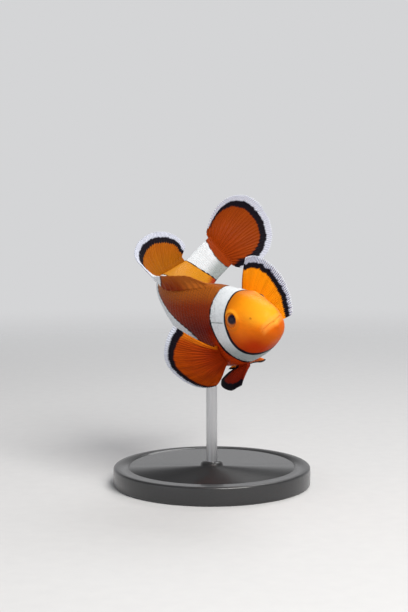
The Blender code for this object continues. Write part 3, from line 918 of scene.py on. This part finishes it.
def scale_faces():
    """Top faces, a skirt of quads round the rim, and one face that closes it underneath."""
    rim = sheet_rim(ALONG, ACROSS)
    under = ALONG * ACROSS + np.arange(len(rim))
    following = np.roll(rim, -1), np.roll(under, -1)
    skirt = np.stack([rim, under, following[1], following[0]], 1)
    return grid_faces(ALONG, ACROSS, flip=True), skirt[:, ::-1], under[None, :]


# %% Points of many scales
def scale_points(picked, random):
    """World points and marks of each point of each picked scale, and the scale's patch of the unwrap.

    Height rises from root to free edge, by chance a little more on some scales, and bows up across
    the middle; the scales of the cheek lie flatter. The underside is the rim again, nearer the skin.
    """
    blade = scale_blade()
    rim = sheet_rim(ALONG, ACROSS)
    full = np.vstack([blade, blade[rim]])
    on_top = np.arange(len(full)) < len(blade)
    across, along = full[:, 0], full[:, 1]
    s0, angle0, gap, apart = (picked[:, k : k + 1] for k in range(4))
    bow = on_body(s0, angle0 + 0.01) - on_body(s0, angle0 - 0.01)
    per_angle = np.linalg.norm(bow, axis=-1) / 0.02
    s = s0 + gap * SCALE_LENGTH * (along - ROOT_SHARE)
    angle = angle0 + across * apart * SCALE_HALF_WIDTH / per_angle
    flat = 0.55 + 0.45 * soft_step(s0, 0.15, 0.30)
    rise = COAT_DEPTH * (-0.9 + flat * (1.25 * along * (0.88 + 0.25 * random) + 0.20 * (1 - across**2)))
    under = np.minimum(rise - 0.55 * COAT_DEPTH, -0.3 * COAT_DEPTH)
    points = skin_point(s, angle, np.where(on_top, rise, under))
    lie = np.stack([0.7 * s + 0.3 * s0, np.cos(angle), np.sin(angle)], -1)
    marks = np.stack([across + 0 * s, along + 0 * s, on_top + 0 * s], -1)
    patch_s = UNWRAP[0] + UNWRAP[1] * s0 + PATCH * (along - 0.5)
    patch_angle = UNWRAP[0] + UNWRAP[1] * np.mod(angle0 / (2 * math.pi), 1) + PATCH / 2 * across
    patch = np.stack([patch_s, patch_angle], -1)
    return points, {"lie": lie, "blade": marks, "head": head_marks(on_body(s, angle), s, angle)}, patch


# %% Join the scales into coat pieces
def make_coat(name, picked, seed):
    """All picked scales as one mesh of closed blades."""
    random = np.random.default_rng(seed).random((len(picked), 1))
    points, marks, patch = scale_points(picked, random)
    each = points.shape[1]
    first = (np.arange(len(picked)) * each)[:, None, None]
    faces = [(f[None] + first).reshape(-1, f.shape[1]) for f in scale_faces()]
    coat = mesh_object(name, points, faces, scale_look, marks)
    corner = np.concatenate([f.ravel() for f in faces])
    unwrap = coat.data.uv_layers.new(name="OFBake")
    unwrap.data.foreach_set("uv", patch.reshape(-1, 2)[corner].astype(np.float32).ravel())
    return coat


on_left = roots[:, 1] > math.pi
make_coat("coat_left", roots[on_left], 1)
make_coat("coat_right", roots[~on_left], 2)

# %% [markdown]
# ## Fins
# A fin is a fan of thin bony rays in a clear skin. The rays show as ridges that fork towards the rim
# and end as a fine fringe. A flat card with a picture of rays would be lighter, but the ridges and
# the fringe are what light catches, so they are real: the thickness of each sheet is a wave across
# the rays. Every point also keeps its distance from the rim, for the black line and pale margin.


# %% Rays of a fin
POINTS_PER_RAY = 16
ROOT_REACH = 0.06  # v runs this far below 0 inside the body
MEMBRANE, MEMBRANE_THINS = 0.00010, 0.00004  # metres to each side of the middle, and less at the rim


def fin_grid(rays, steps=44):
    """u runs over the rays, v along each; v below 0 is the root inside the body."""
    u = np.linspace(0, 1, rays * POINTS_PER_RAY + 1)[:, None]
    v = np.concatenate([[-ROOT_REACH, -ROOT_REACH / 2], np.linspace(0, 1, steps) ** 0.92])[None, :]
    return u + 0 * v, v + 0 * u


def fringe(u, v, tips, depth=0.04):
    """Shortens the sheet between the tips of the forked rays, each tip a little differently."""
    between = 0.5 - 0.5 * np.cos(2 * math.pi * tips * u)
    uneven = 0.75 + 0.25 * np.sin(37.0 * u + 2.0 * np.sin(91.0 * u))
    return np.where(v > 0, v * (1 - depth * between * uneven * soft_step(v, 0.75, 1.0)), v)


def fin_waves(u, v, rays, tips):
    """Ridge height 0 to 1: a wave per ray near the root, two past the first fork, one per tip at the rim."""
    single, double, fine = ((0.5 + 0.5 * np.cos(2 * math.pi * k * u)) ** 1.5 for k in (rays, 2 * rays, tips))
    forked = soft_step(v, 0.38, 0.58)
    forked_again = soft_step(v, 0.68, 0.86)
    ridge = single * (1 - forked) + double * forked
    return ridge * (1 - forked_again) + fine * forked_again


# %% A fin sheet
def sheet(name, middle, u, v, rays, tips, thick, look, ripple=0.0, flesh=0.0002, fleshy=0.10):
    """A fin: its middle surface moved to both sides by the half thickness of membrane and ridges.

    The half thickness is a thin membrane, plus the ridge wave where the rays are, plus flesh that
    fades out from the root. The part sunk in the body is half as thick. Both sides move square to the
    middle surface, along the cross product of its two slopes.
    """
    facing = unit(np.cross(np.gradient(middle, axis=0), np.gradient(middle, axis=1)))
    ridge = fin_waves(u, v, rays, tips)
    v_here = np.clip(v, 0, 1)
    bony = (thick / 2 - MEMBRANE) * (1 - 0.80 * v_here) * ridge
    half = MEMBRANE - MEMBRANE_THINS * v_here + bony + flesh * np.exp(-((v_here / fleshy) ** 1.4))
    half = (half * np.where(v < 0, 0.5, 1.0))[..., None]
    middle = middle + facing * (ripple * np.sin(2 * math.pi * (1.6 * u + 0.35 * v)) * v_here**2)[..., None]
    rim = middle[:, -1]
    off = np.linalg.norm(middle[:, :, None] - rim[None, None, ::2], axis=-1).min(-1) * 1000
    lead = np.linalg.norm(middle - middle[:1], axis=-1) * 1000
    edge = sheet_rim(*u.shape)
    ahead, count = np.roll(edge, -1), u.size
    points = np.vstack([(middle + facing * half).reshape(-1, 3), (middle - facing * half).reshape(-1, 3)])
    upper = grid_faces(*u.shape)
    skirt = np.stack([edge, edge + count, ahead + count, ahead], 1)
    marks = np.stack([off, ridge, lead], -1).reshape(-1, 3)
    place = np.stack([u, v_here, u * rays], -1).reshape(-1, 3)
    both = {"rim": np.vstack([marks, marks]), "ray": np.vstack([place, place])}
    made = mesh_object(name, points, [upper[:, ::-1], upper + count, skirt[:, ::-1]], look, both)
    return made


# %% [markdown]
# ## Colour of the fins
# Each fin is orange with a black line near its rim and a clear, milky margin outside it, where the
# ray tips show as pale streaks. The widths are given in millimetres in from the rim, so that one
# material recipe serves every fin; the margin is a little see-through between the rays.

# %% Widths and streaks along the rays
RAY_TIP = (0.74, 0.77, 0.87)
CLEAR_SKIN = (0.20, 0.21, 0.32)
BETWEEN_RAYS = (0.06, 0.004, 0.0)
STREAK_DARK = (0.10, 0.006, 0.0)
# a painted highlight along the first ray of a fin
LEAD_RAY_HIGHLIGHT = (0.92, 0.26, 0.006)
BLOTCH = (0.15, 0.006, 0.002)
STREAK_SCALE = 0.7  # lumps in one ray's width
RAY_JOINTS = 190.0  # radians of the wave of joints along a ray


def width_along(look, u, ends):
    """Width factor at the first ray, the middle and the last ray, joined by soft steps."""
    first, middle, last = ends
    return first + look.smooth(u, 0.0, 0.35) * (middle - first) + look.smooth(u, 0.62, 1.0) * (last - middle)


def ray_streaks(look, length=1.2):
    """Noise 0 to 1 whose lumps are long streaks along the rays; v runs from 0 to length over a ray."""
    _, v, ray_number = look.mark("ray")
    place = look.node("ShaderNodeCombineXYZ", None, {0: ray_number, 1: v * length})
    return look.noise_at(place.outputs[0], STREAK_SCALE)


# %% Rim of a fin
def joined(first, second):
    """Share covered by either of two masks."""
    return first + second * (1 - first)


def rim_colours(look, colour, pale, black, pale_ends, black_ends, front_pale, front_black, streaks):
    """Adds the black line and the milky margin, and returns the colour and how opaque it is."""
    gap, ridge, lead = look.mark("rim")
    u, v, _ = look.mark("ray")
    cloud = look.noise(0.0018, 3.0)
    comb = (ridge - 0.5) * 0.28 + (cloud - 0.5) * 0.35 + (ray_streaks(look, 0.2) - 0.5) * 0.6
    inner = gap + comb - width_along(look, u, pale_ends) * pale
    black_width = width_along(look, u, black_ends) * black
    line = look.fade(inner - black_width, -0.22, 0.16) * look.smooth(v, 0.20, 0.42)
    if front_black:
        line = joined(look.fade(lead + comb, front_black - 0.3, front_black + 0.2), line)
    colour = look.mix(line, colour, EDGE_BLACK)
    if not pale:
        return colour, 1.0
    margin = look.fade(inner, -0.16, 0.10)
    if front_pale:
        margin = joined(look.fade(lead + comb, front_pale - 0.25, front_pale + 0.15), margin)
    between = look.fade(ridge, 0.15, 0.75)
    colour = look.mix(margin, colour, look.mix(between * streaks, RAY_TIP, CLEAR_SKIN))
    return colour, 1 - margin * between * 0.25


# %% Front and rear of the dorsal fins
def front_white(look, colour, white_front):
    """White over the front corner of the soft dorsal fin, where the second band runs up it."""
    u, v, _ = look.mark("ray")
    return look.mix(look.fade(u + v * 0.35, white_front, white_front + 0.04), colour, BAND_WHITE)


def rear_white(look, colour, white_rear):
    """The saddle's painted tan ridge highlight in front, dark blotches behind and the start of the second
    band at the rear.
    """
    u, v, _ = look.mark("ray")
    blotch = look.smooth(look.noise(0.0011, 1.0), 0.50, 0.62) * look.smooth(u, 0.40, 0.60)
    slanted = u + v * 0.26
    return look.layers(
        colour,
        (blotch * look.fade(v, 0.25, 0.75) * 0.6, BLOTCH),
        # the saddle's painted tan highlight carried onto the fin's front
        (look.fade(u, 0.35, 0.60), SADDLE_RIDGE_HIGHLIGHT),
        (look.smooth(slanted, white_rear - 0.03, white_rear) * 0.8, EDGE_BLACK),
        (look.smooth(slanted, white_rear, white_rear + 0.03), BAND_WHITE),
    )


# %% The whole look of a fin
def make_fin_look(
    name, root, tip, pale=1.3, black=1.3, pale_ends=(1, 1, 1), black_ends=(1, 1, 1), ribs=0.40, streaks=0.5,
    uneven=0.35, lead_highlight=0.0, front_pale=0.0, front_black=0.0, white_front=0.0, white_rear=0.0,
):
    """Root colour to tip colour along the rays, darker between them, then the rim's colours.

    pale, black, front_pale and front_black are widths in mm; the ends scale them at the first, middle
    and last ray. ribs, streaks, uneven and lead_highlight are strengths, lead_highlight that of a painted
    highlight along the first ray; white_front and white_rear are u.
    """
    look = Look(name, specular_ior_level=0.06, coat_weight=0.02, coat_roughness=0.3)
    _, ridge, _ = look.mark("rim")
    u, v, _ = look.mark("ray")
    cloud = look.noise(0.0022, 3.0)
    colour = look.layers(
        look.mix(look.smooth(v + (cloud - 0.5) * 0.4, 0.0, 0.85), root, tip),
        ((1 - ridge) * (ribs * 0.55), BETWEEN_RAYS),
        (look.smooth(ray_streaks(look), 0.62, 0.36) * (uneven * 0.45), STREAK_DARK),
        # painted highlight along the first ray
        (look.fade(u, 0.01, 0.10) * lead_highlight, LEAD_RAY_HIGHLIGHT),
    )
    opaque = 1.0
    if black:
        colour, opaque = rim_colours(
            look, colour, pale, black, pale_ends, black_ends, front_pale, front_black, streaks
        )
    if white_front:
        colour = front_white(look, colour, white_front)
    if white_rear:
        colour = rear_white(look, colour, white_rear)
    height = look.sine(v * RAY_JOINTS) * ridge * 0.3 + look.noise(0.0002, 4.0) * 0.5
    return look.finish(
        base_color=colour, alpha=opaque, roughness=0.46 + cloud * 0.2, normal=look.bump(height, 0.00002)
    )


# %% Looks of all the fins
# The left pectoral is painted bright as if lit through from above, the right one dark as painted shade: one
# fin colour in a lit and a shaded copy.
lit_left_pectoral_look = make_fin_look(
    "left pectoral painted lit", (1.0, 0.25, 0.0005), (1.0, 0.31, 0.0005), 1.25, 1.6, (1.05, 0.7, 0.4), (1, 0.85, 0.75),
    ribs=0.25, streaks=1.0,
)
shaded_right_pectoral_look = make_fin_look(
    "right pectoral painted shade", (0.40, 0.032, 0.0005), (0.54, 0.072, 0.0005), 1.1, 2.0, (1, 0.8, 0.2), (1, 0.70, 0.42),
    streaks=0.15, uneven=0.8, lead_highlight=0.6,
)
dorsal_look = make_fin_look(
    "soft dorsal", (0.36, 0.108, 0.001), (0.38, 0.094, 0.001), 1.25, 1.75, black_ends=(0.3, 1, 0.7),
    ribs=0.12, front_pale=0.7, white_front=0.10,
)
tail_look = make_fin_look(
    "tail fin", TAIL_ROOT, (0.28, 0.042, 0.0005), 1.5, 1.95, (0.6, 1, 0.8), (0.8, 1, 0.0),
    ribs=0.11, streaks=0.45,
)
anal_look = make_fin_look("anal fin", (0.50, 0.06, 0.0005), (0.50, 0.07, 0.0005), 0.8, 1.4)
# The pelvic fins too: the right one painted dark as shade, the left one brighter as if lit.
shaded_right_pelvic_look = make_fin_look(
    "right pelvic painted shade", (0.36, 0.022, 0.0005), (0.24, 0.010, 0.0005), 0.0, 1.7, front_black=0.9
)
lit_left_pelvic_look = make_fin_look(
    "left pelvic painted lit", (0.50, 0.050, 0.0005), (0.80, 0.16, 0.001), 0.0, 1.1, lead_highlight=0.9
)
spiny_look = make_fin_look(
    "spiny dorsal", (0.24, 0.030, 0.002), (0.36, 0.075, 0.005), 0.0, 0.0, ribs=0.10, white_rear=0.98
)


# %% Fins on the midline
FIN_LIFT = (GAP + 0.001) / STANDARD_LENGTH  # how far the solid fins stand off the back and belly
ROOT_SINK = 1.0 * MM  # how deep the rays start under the skin


def median_fin(name, u, v, rays, tips, root, tip, look, **more):
    """Rays from a root to a tip on the midline, with rows below the root that reach into the body."""
    root = np.stack(np.broadcast_arrays(*root, v)[:3], -1)
    tip = np.stack(np.broadcast_arrays(*tip, v)[:3], -1)
    v = fringe(u, v, tips)
    line = root + (tip - root) * np.maximum(v, 0)[..., None]
    line[..., 2] += np.sign(root[..., 2]) * np.minimum(v, 0) / ROOT_REACH * (FIN_LIFT + ROOT_SINK)
    return sheet(name, bend(line), u, v, rays, tips, look=look, **more)


# %% Spiny dorsal fin
SPINES = 10
u, v = fin_grid(SPINES, steps=20)
spine_s = 0.275 + 0.310 * u
tip_s = 0.320 + 0.282 * u
tip_height = 0.042 * soft_step(u, -0.16, 0.30) + 0.022 * np.sin(math.pi * u**1.6) - 0.018
swell = 0.0012 * soft_step(u, -0.2, 0.45) * (1 - soft_step(u, 0.8, 1.2))
spiny = median_fin(
    "dorsal_spines", u, v, SPINES, SPINES,
    (spine_s, 0.0, back(spine_s) - 0.001),
    (tip_s, -0.006, back(tip_s) + FIN_LIFT + tip_height),
    spiny_look, thick=0.0006, flesh=swell, fleshy=0.35,
)
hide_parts("dorsal_fin_spiny")


# %% Soft dorsal and anal fins
def soft_fin(name, node, rays, s_ends, edge, up, sweep, look):
    """A round fin: ray length 0.047 plus 0.115 times a sine of u to the power 0.84."""
    u, v = fin_grid(rays)
    s = s_ends[0] + (s_ends[1] - s_ends[0]) * u
    length = 0.047 + 0.115 * np.sin(math.pi * (0.04 + 0.95 * u)) ** 0.84
    lay = np.radians(sweep[0] + (sweep[1] - sweep[0]) * u)
    root_z = edge(s) + up * FIN_LIFT
    tip = (s + length * np.sin(lay), 0.0, root_z + up * length * np.cos(lay))
    made = median_fin(name, u, v, rays, 4 * rays, (s, 0.0, root_z), tip, look, thick=0.0009, ripple=0.0003)
    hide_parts(node)


soft_fin("soft_dorsal", "dorsal_fin_soft", 16, (0.615, 0.865), back, 1, (24, 75), dorsal_look)
soft_fin("anal_rays", "anal_fin", 13, (0.665, 0.860), belly, -1, (28, 75), anal_look)

# %% Tail fin
TAIL_RAYS, TAIL_TIPS = 17, 68
TAIL_FAN = 50  # degrees to each side
TAIL_LENGTH, TAIL_SHORTER = 0.284, 0.226  # the middle ray, and how much shorter the outer ones are
u, v = fin_grid(TAIL_RAYS, steps=56)
v = fringe(u, v, TAIL_TIPS, 0.035)
spread = 2 * u - 1
fan_turn = np.radians(TAIL_FAN) * spread
length = TAIL_LENGTH - TAIL_SHORTER * np.abs(spread) ** 2.4
out = np.maximum(v, 0)
tail_s = 1.0 + FIN_LIFT + out * length * np.cos(fan_turn) + np.minimum(v, 0) * 0.6
tail_z = 0.072 * spread * np.where(v < 0, 0.88, 1.0) + out * length * np.sin(fan_turn)
tail_y = -0.021 * np.sin(math.pi * out)
middle = bend(np.stack([tail_s, tail_y, tail_z], -1))
flesh = 0.0006 * np.sqrt(1 - 0.97 * spread**2)
tail = sheet("tail_rays", middle, u, v, TAIL_RAYS, TAIL_TIPS, 0.0008, tail_look, ripple=0.0004, flesh=flesh)
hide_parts("caudal_fin")

# %% Poses of the paired fins
# Where the base lies, where the middle ray points, how the fan opens, and how it cups. Directions are
# (back, out, up), angles are degrees.
PECTORAL_BASE = dict(root_s=(0.305, 0.325), root_angle=(100, 130), depth=1.08)
PECTORAL = {
    "right": dict(
        PECTORAL_BASE, ray=(0.51, 0.77, 0.21), spread=(-0.44, -0.05, 0.65), turn=(43, -75), scale=0.83,
        cup=0.27, comb=0.015,
    ),
    "left": dict(
        PECTORAL_BASE, ray=(0.17, 0.62, 0.48), spread=(0.24, -0.54, 1.13), turn=(35, -51), scale=0.92,
        cup=-0.54, comb=0.05,
    ),
}
PELVIC_BASE = dict(
    root_s=(0.335, 0.285), root_angle=(163, 170), depth=1.05, spread=(0.59, -0.78, 0.20), scale=0.71,
    cup=0.10, comb=0.03,
)
PELVIC = {
    "right": dict(PELVIC_BASE, ray=(0.76, 0.46, -0.46), turn=(27, -44)),
    "left": dict(PELVIC_BASE, ray=(0.80, 0.38, -0.46), turn=(27, -38)),
}


# %% A paired fin
ROOT_DEPTH = 0.90  # the rays start this share of the way out from the middle of the body


def paired_fin(name, node, side, pose, rays, tips, length, look, ripple):
    """A fan from two ends of a short base on the body; rows below the root run into the body.

    Each ray points along cos(turn) times the middle ray plus sin(turn) times the opening direction,
    and bends aside by cup times the square of the way along it.
    """
    u, v = fin_grid(rays)
    v = fringe(u, v, tips, pose["comb"])
    ray = unit(np.array(pose["ray"]))
    opening = unit(pose["spread"] - ray * np.dot(pose["spread"], ray))
    swing = np.radians(np.interp(u, (0, 1), pose["turn"]))[..., None]
    along = np.maximum(v, 0)[..., None]
    way = along * (np.cos(swing) * ray + np.sin(swing) * opening)
    way = way + pose["cup"] * along**2 * np.cross(ray, opening)
    s = np.interp(u, (0, 1), pose["root_s"])
    angle = -side * np.radians(np.interp(u, (0, 1), pose["root_angle"]))
    depth = pose["depth"] + np.minimum(v, 0) / ROOT_REACH * (pose["depth"] - ROOT_DEPTH)
    _, forward, left, dorsal = spine_axes(np.mean(pose["root_s"]))
    axes = np.stack([-forward, side * left, dorsal])
    long = (pose["scale"] * length(u) * STANDARD_LENGTH)[..., None]
    middle = bend(on_body(s, angle, depth)) + long * (way @ axes)
    made = sheet(name, middle, u, v, rays, tips, 0.0010, look, ripple)
    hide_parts(node)


# %% Both pairs of fins
def pectoral_length(u):
    """Ray length from first to last ray: 0.121 plus 0.124 times a sine that peaks before the middle."""
    return 0.121 + 0.124 * np.sin(math.pi * (0.36 + 0.44 * u))


def pelvic_length(u):
    """Ray length: 0.200 at the first ray, less 0.075 times u to the power 1.5."""
    return 0.200 - 0.075 * u**1.5


# each side's fins take that side's painted lit or painted shade look
for side, which, look, pelvic_look in (
    (1, "left", lit_left_pectoral_look, lit_left_pelvic_look), (-1, "right", shaded_right_pectoral_look, shaded_right_pelvic_look),
):
    for kind, poses, rays, tips, length, fin_look, ripple in (
        ("pectoral", PECTORAL, 18, 44, pectoral_length, look, 0.0004),
        ("pelvic", PELVIC, 7, 28, pelvic_length, pelvic_look, 0.0003),
    ):
        name, node = f"{kind}_rays_{which}", f"{kind}_fin_{which}"
        paired_fin(name, node, side, poses[which], rays, tips, length, fin_look, ripple)

# %% [markdown]
# ## Eyes
# A fish's eye is a flattened ball under a clear, wet front. Its round lens bulges through the
# pupil, and a thin bright ring parts the pupil from the iris. A ball with a colour ramp would miss
# the bulge, so the eye is a turned shape: one profile of radius and height, swung round the eye's axis.


# %% Eye place and frame
def eye_frame(side):
    """Centre and axes of an eye: forward and upward along the skin, and their cross product outward."""
    s, angle = EYE_AT[0], -side * EYE_ANGLE
    here = bend(on_body(s, angle))
    forward = unit(bend(on_body(s - 0.01, angle)) - here)
    upward = unit(bend(on_body(s, angle + side * 0.05)) - here)
    out = unit(np.cross(forward, upward))
    if np.dot(here - bend(on_body(s, 0.0, 0.0)), out) < 0:
        out = -out
    return here - out * EYE_SUNK, np.stack([forward, unit(np.cross(out, forward)), out])


# %% Eye look
# the first two paint the iris darker below and lighter above: painted shade and painted light from above
IRIS_LOW_SHADE, IRIS_HIGH_LIGHT, IRIS_STREAK = (0.55, 0.12, 0.003), (0.90, 0.32, 0.012), (0.25, 0.05, 0.002)
PUPIL, PUPIL_EDGE, IRIS_RIM = (0.008, 0.003, 0.012), (0.10, 0.024, 0.010), (0.20, 0.04, 0.004)


def make_eye_look():
    """Purple-black pupil with a soft edge, then a streaked orange iris that darkens at its rim; the iris is
    painted lighter above and darker below as painted light and shade.
    """
    look = Look("wet eye", roughness=0.20, specular_ior_level=0.10, coat_weight=0.30, coat_roughness=0.06)
    off, from_axis, high = look.mark("iris")
    cloud = look.noise(0.0004, 4.0)
    # the iris painted lighter at the top and darker below, as painted light from above
    iris = look.mix(look.smooth(high, -1.3, 1.5), IRIS_LOW_SHADE, IRIS_HIGH_LIGHT)
    iris = look.mix(cloud * 0.35, iris, IRIS_STREAK)
    blurred = off + (cloud - 0.5) * 0.25
    colour = look.mix(look.smooth(blurred, 1.10, 1.62), PUPIL_EDGE, iris)
    colour = look.mix(look.smooth(blurred, 0.82, 1.34), PUPIL, colour)
    colour = look.mix(look.smooth(from_axis, 1.66, 1.95) * 0.5, colour, IRIS_RIM)
    return look.finish(base_color=colour, normal=look.bump(cloud, 0.00002))


eye_look = make_eye_look()


# %% Turn the eyes
LENS_RISE, LENS_WIDTH = 0.00012, 0.0009  # metres
DIP_DEPTH, DIP_AT, DIP_WIDTH = 0.00006, 0.00145, 0.0003
EYE_RINGS, EYE_STEPS = 48, 64


def make_eye(side, which):
    """Rings of a flattened ball, raised by a lens bulge over the pupil and dipped round it."""
    centre, axes = eye_frame(side)
    lean = np.linspace(0.02, math.pi - 0.02, EYE_RINGS)[:, None]
    swing = circle(EYE_STEPS)[None, :]
    off = EYE_RADIUS * np.sin(lean)
    high = EYE_HALF_DEPTH * np.cos(lean)
    front = np.where(np.cos(lean) > 0, 1.0, 0.0)
    lens = LENS_RISE * bell(off, LENS_WIDTH) - DIP_DEPTH * bell(off - DIP_AT, DIP_WIDTH)
    local = np.stack([off * np.cos(swing), off * np.sin(swing), (high + front * lens) + 0 * swing], -1)
    from_pupil = np.hypot(local[..., 0] - PUPIL_AT[which][0], local[..., 1] - PUPIL_AT[which][1])
    marks = np.stack([from_pupil * 1000, off * 1000 + 0 * swing, local[..., 1] * 1000], -1)
    eye = tube("eyeball_" + which, centre + local @ axes, eye_look, {"iris": marks}, flip=side < 0)
    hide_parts("eye_" + which)


make_eye(1, "left")
make_eye(-1, "right")

# %% [markdown]
# ## Display stand
# A museum holds a swimming fish on a slim steel rod set in a heavy, plain base. Both are turned
# parts, so each is a profile swung round a vertical axis, with its corners eased as a lathe would.


# %% Turned parts
POLE = 1e-5  # radius of the first and last ring, round a pole


def turned(name, profile, look, centre, steps=96):
    """Rings at each (radius, height) of the profile round a vertical axis through centre."""
    swing = circle(steps)[None, :]
    radius, height = np.array(profile).T[..., None]
    x, y = centre[0] + radius * np.cos(swing), centre[1] + radius * np.sin(swing)
    return tube(name, np.stack([x, y, height + 0 * swing], -1), look)


def rounded(radius, low, high, ease, steps=6):
    """Profile of a disc whose two outer corners are eased by quarter circles."""
    bend_in = np.linspace(0, math.pi / 2, steps)
    lower = [(radius - ease + ease * math.sin(a), low + ease - ease * math.cos(a)) for a in bend_in]
    upper = [(radius - ease + ease * math.cos(a), high - ease + ease * math.sin(a)) for a in bend_in]
    return [(POLE, low), (radius * 0.5, low)] + lower + upper


# %% Stand looks
base_look = Look("black lacquer", coat_weight=0.5, coat_roughness=0.12)
orange_peel = base_look.noise(0.0012, 3.0)
dust = base_look.noise(0.0003, 4.0)
base_look = base_look.finish(
    base_color=base_look.mix(dust * 0.6, (0.012, 0.012, 0.013), (0.035, 0.035, 0.037)),
    roughness=0.28 + dust * 0.18,
    normal=base_look.bump(orange_peel, 0.00003),
)
rod_look = Look("brushed steel", metallic=1.0)
brush = rod_look.noise(0.00012, 4.0, stretch=(1.0, 1.0, 0.03))
rod_look = rod_look.finish(
    base_color=rod_look.mix(brush, (0.42, 0.42, 0.43), (0.70, 0.70, 0.71)),
    roughness=0.22 + brush * 0.22,
    normal=rod_look.bump(brush, 0.00001),
)

# %% Base
EASE = 0.0006  # radius of the base's rounded corners
GROOVE_DEPTH = 0.0003
GROOVE = ((0.86, 0), (0.855, 1), (0.84, 1), (0.835, 0))  # share of the radius, share of the depth
COLLAR = ((0.0032, 0), (0.0030, 0.0008), (0.0024, 0.0012), (0.0005, 0.0012))  # radius, rise
base_radius = (base_high[0] - base_low[0]) / 2
base_centre = ((base_low[0] + base_high[0]) / 2, (base_low[1] + base_high[1]) / 2)
top = base_high[2]
disc = rounded(base_radius, 0.0, top, EASE)
disc += [(base_radius * share, top - GROOVE_DEPTH * down) for share, down in GROOVE]
disc += [(radius, top + rise) for radius, rise in COLLAR]
base = turned("display_base", disc, base_look, base_centre)
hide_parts("stand_base")

# %% Rod
ROD_FOOT, ROD_TIP = 0.001, 0.0008  # metres that it runs on into the base and into the belly
ROD_RINGS, ROD_STEPS = 30, 40
rod_radius = (rod_high[0] - rod_low[0]) / 2
foot, tip = rod_low[2] - ROD_FOOT, rod_high[2] + ROD_TIP
rod_profile = [(POLE, foot), *((rod_radius, z) for z in np.linspace(foot, tip, ROD_RINGS)), (POLE, tip)]
rod = turned("display_rod", rod_profile, rod_look, rod_axis, ROD_STEPS)
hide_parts("stand_rod")

# %% [markdown]
# ## Studio
# Small things look best where no horizon shows. A curved wall would do that for one view only, so
# here the pale floor is a wide disc that melts into an equally pale world, and looks the same from
# every side. A soft light in front, above and to the right models the head, weaker ones fill the
# shadows and trace the back.

# %% Floor
FLOOR_RADIUS, FLOOR_RINGS, FLOOR_STEPS = 1.6, 60, 96
swing = circle(FLOOR_STEPS)[None, :]
radius = (FLOOR_RADIUS * np.linspace(0.001, 1, FLOOR_RINGS) ** 1.5)[:, None] + 0 * swing
points = np.stack([radius * np.cos(swing), radius * np.sin(swing), 0 * radius], -1)
faces = [grid_faces(FLOOR_RINGS, FLOOR_STEPS, wrap=True, flip=True), np.arange(FLOOR_STEPS)[None, :]]
away = np.stack([radius, 0 * radius, 0 * radius], -1)
floor_look = Look("pale paper", roughness=0.9, specular_ior_level=0.1)
fibre = floor_look.noise(0.004, 5.0)
floor_look = floor_look.finish(
    base_color=floor_look.mix(fibre, (0.70, 0.70, 0.71), (0.75, 0.75, 0.755)),
    normal=floor_look.bump(fibre, 0.00005),
    alpha=1 - floor_look.smooth(floor_look.mark("away")[0], 0.10, 0.55),
)
floor = mesh_object("floor", points, faces, floor_look, {"away": away}, rides=False)
print("all its faces look up:", all(face.normal.z > 0 for face in floor.data.polygons))


# %% Lights
def softbox(name, place, aim, size, power, colour):
    """A square area light at place that looks at aim."""
    light = bpy.data.lights.new(name, "AREA")
    light.size = size
    light.energy = power
    light.color = colour
    made = in_scene(name, light)
    made.location = place
    made.rotation_euler = mathutils.Vector(aim - place).to_track_quat("-Z", "Y").to_euler()


centre = bend(np.array([0.3, 0.0, 0.0]))
softbox("key", centre + (0.17, -0.26, 0.34), centre, 0.24, 2.1, (1.0, 0.98, 0.94))
softbox("fill", centre + (-0.40, -0.35, 0.10), centre, 0.40, 0.25, (0.92, 0.95, 1.0))
softbox("rim", centre + (0.10, 0.28, 0.36), centre, 0.20, 0.6, (1.0, 1.0, 1.0))

# %% World
SKY = (  # height of the direction from 0, straight down, to 1, straight up, and brightness there
    (0.00, 0.66), (0.58, 0.66), (0.75, 0.20), (0.90, 0.20), (1.00, 0.40),
)
TINT = np.array([1.0, 1.005, 1.02])
world = bpy.data.worlds.new("studio")
bpy.context.scene.world = world
sky = Tree(world)
direction = sky.node("ShaderNodeTexCoord").outputs["Generated"]
height = sky.node("ShaderNodeSeparateXYZ", None, {0: direction}).outputs["Z"]
share = sky.node("ShaderNodeMapRange", None, {"Value": height, "From Min": -1.0}).outputs[0]
stops = [(place, tuple(bright * TINT)) for place, bright in SKY]
ramp = sky.node("ShaderNodeValToRGB", {"stops": stops}, {0: share}).outputs[0]
sky.feed(sky.nodes["Background"].inputs["Color"], ramp)
bpy.context.scene.view_settings.view_transform = "Standard"

# %% Camera
CAMERA_FAR = 0.330
CAMERA_RISE = math.radians(6.0)
LENS, SENSOR_HEIGHT = 75.6, 36.0  # millimetres
ASIDE, TIP_UP = math.radians(1.91), math.radians(0.84)  # turn the view so that the fish sits as framed
head_place = start + STANDARD_LENGTH * spine_axes(np.array(0.2))[0]
camera = in_scene("camera", bpy.data.cameras.new("camera"))
camera.data.sensor_fit = "VERTICAL"
camera.data.sensor_height = SENSOR_HEIGHT
camera.data.lens = LENS
camera.location = head_place + CAMERA_FAR * np.array([0.0, -math.cos(CAMERA_RISE), math.sin(CAMERA_RISE)])
turn_to = mathutils.Matrix.Rotation
aim = turn_to(math.radians(90) - CAMERA_RISE, 4, "X") @ turn_to(ASIDE, 4, "Y") @ turn_to(TIP_UP, 4, "X")
camera.rotation_euler = aim.to_euler()
bpy.context.scene.camera = camera
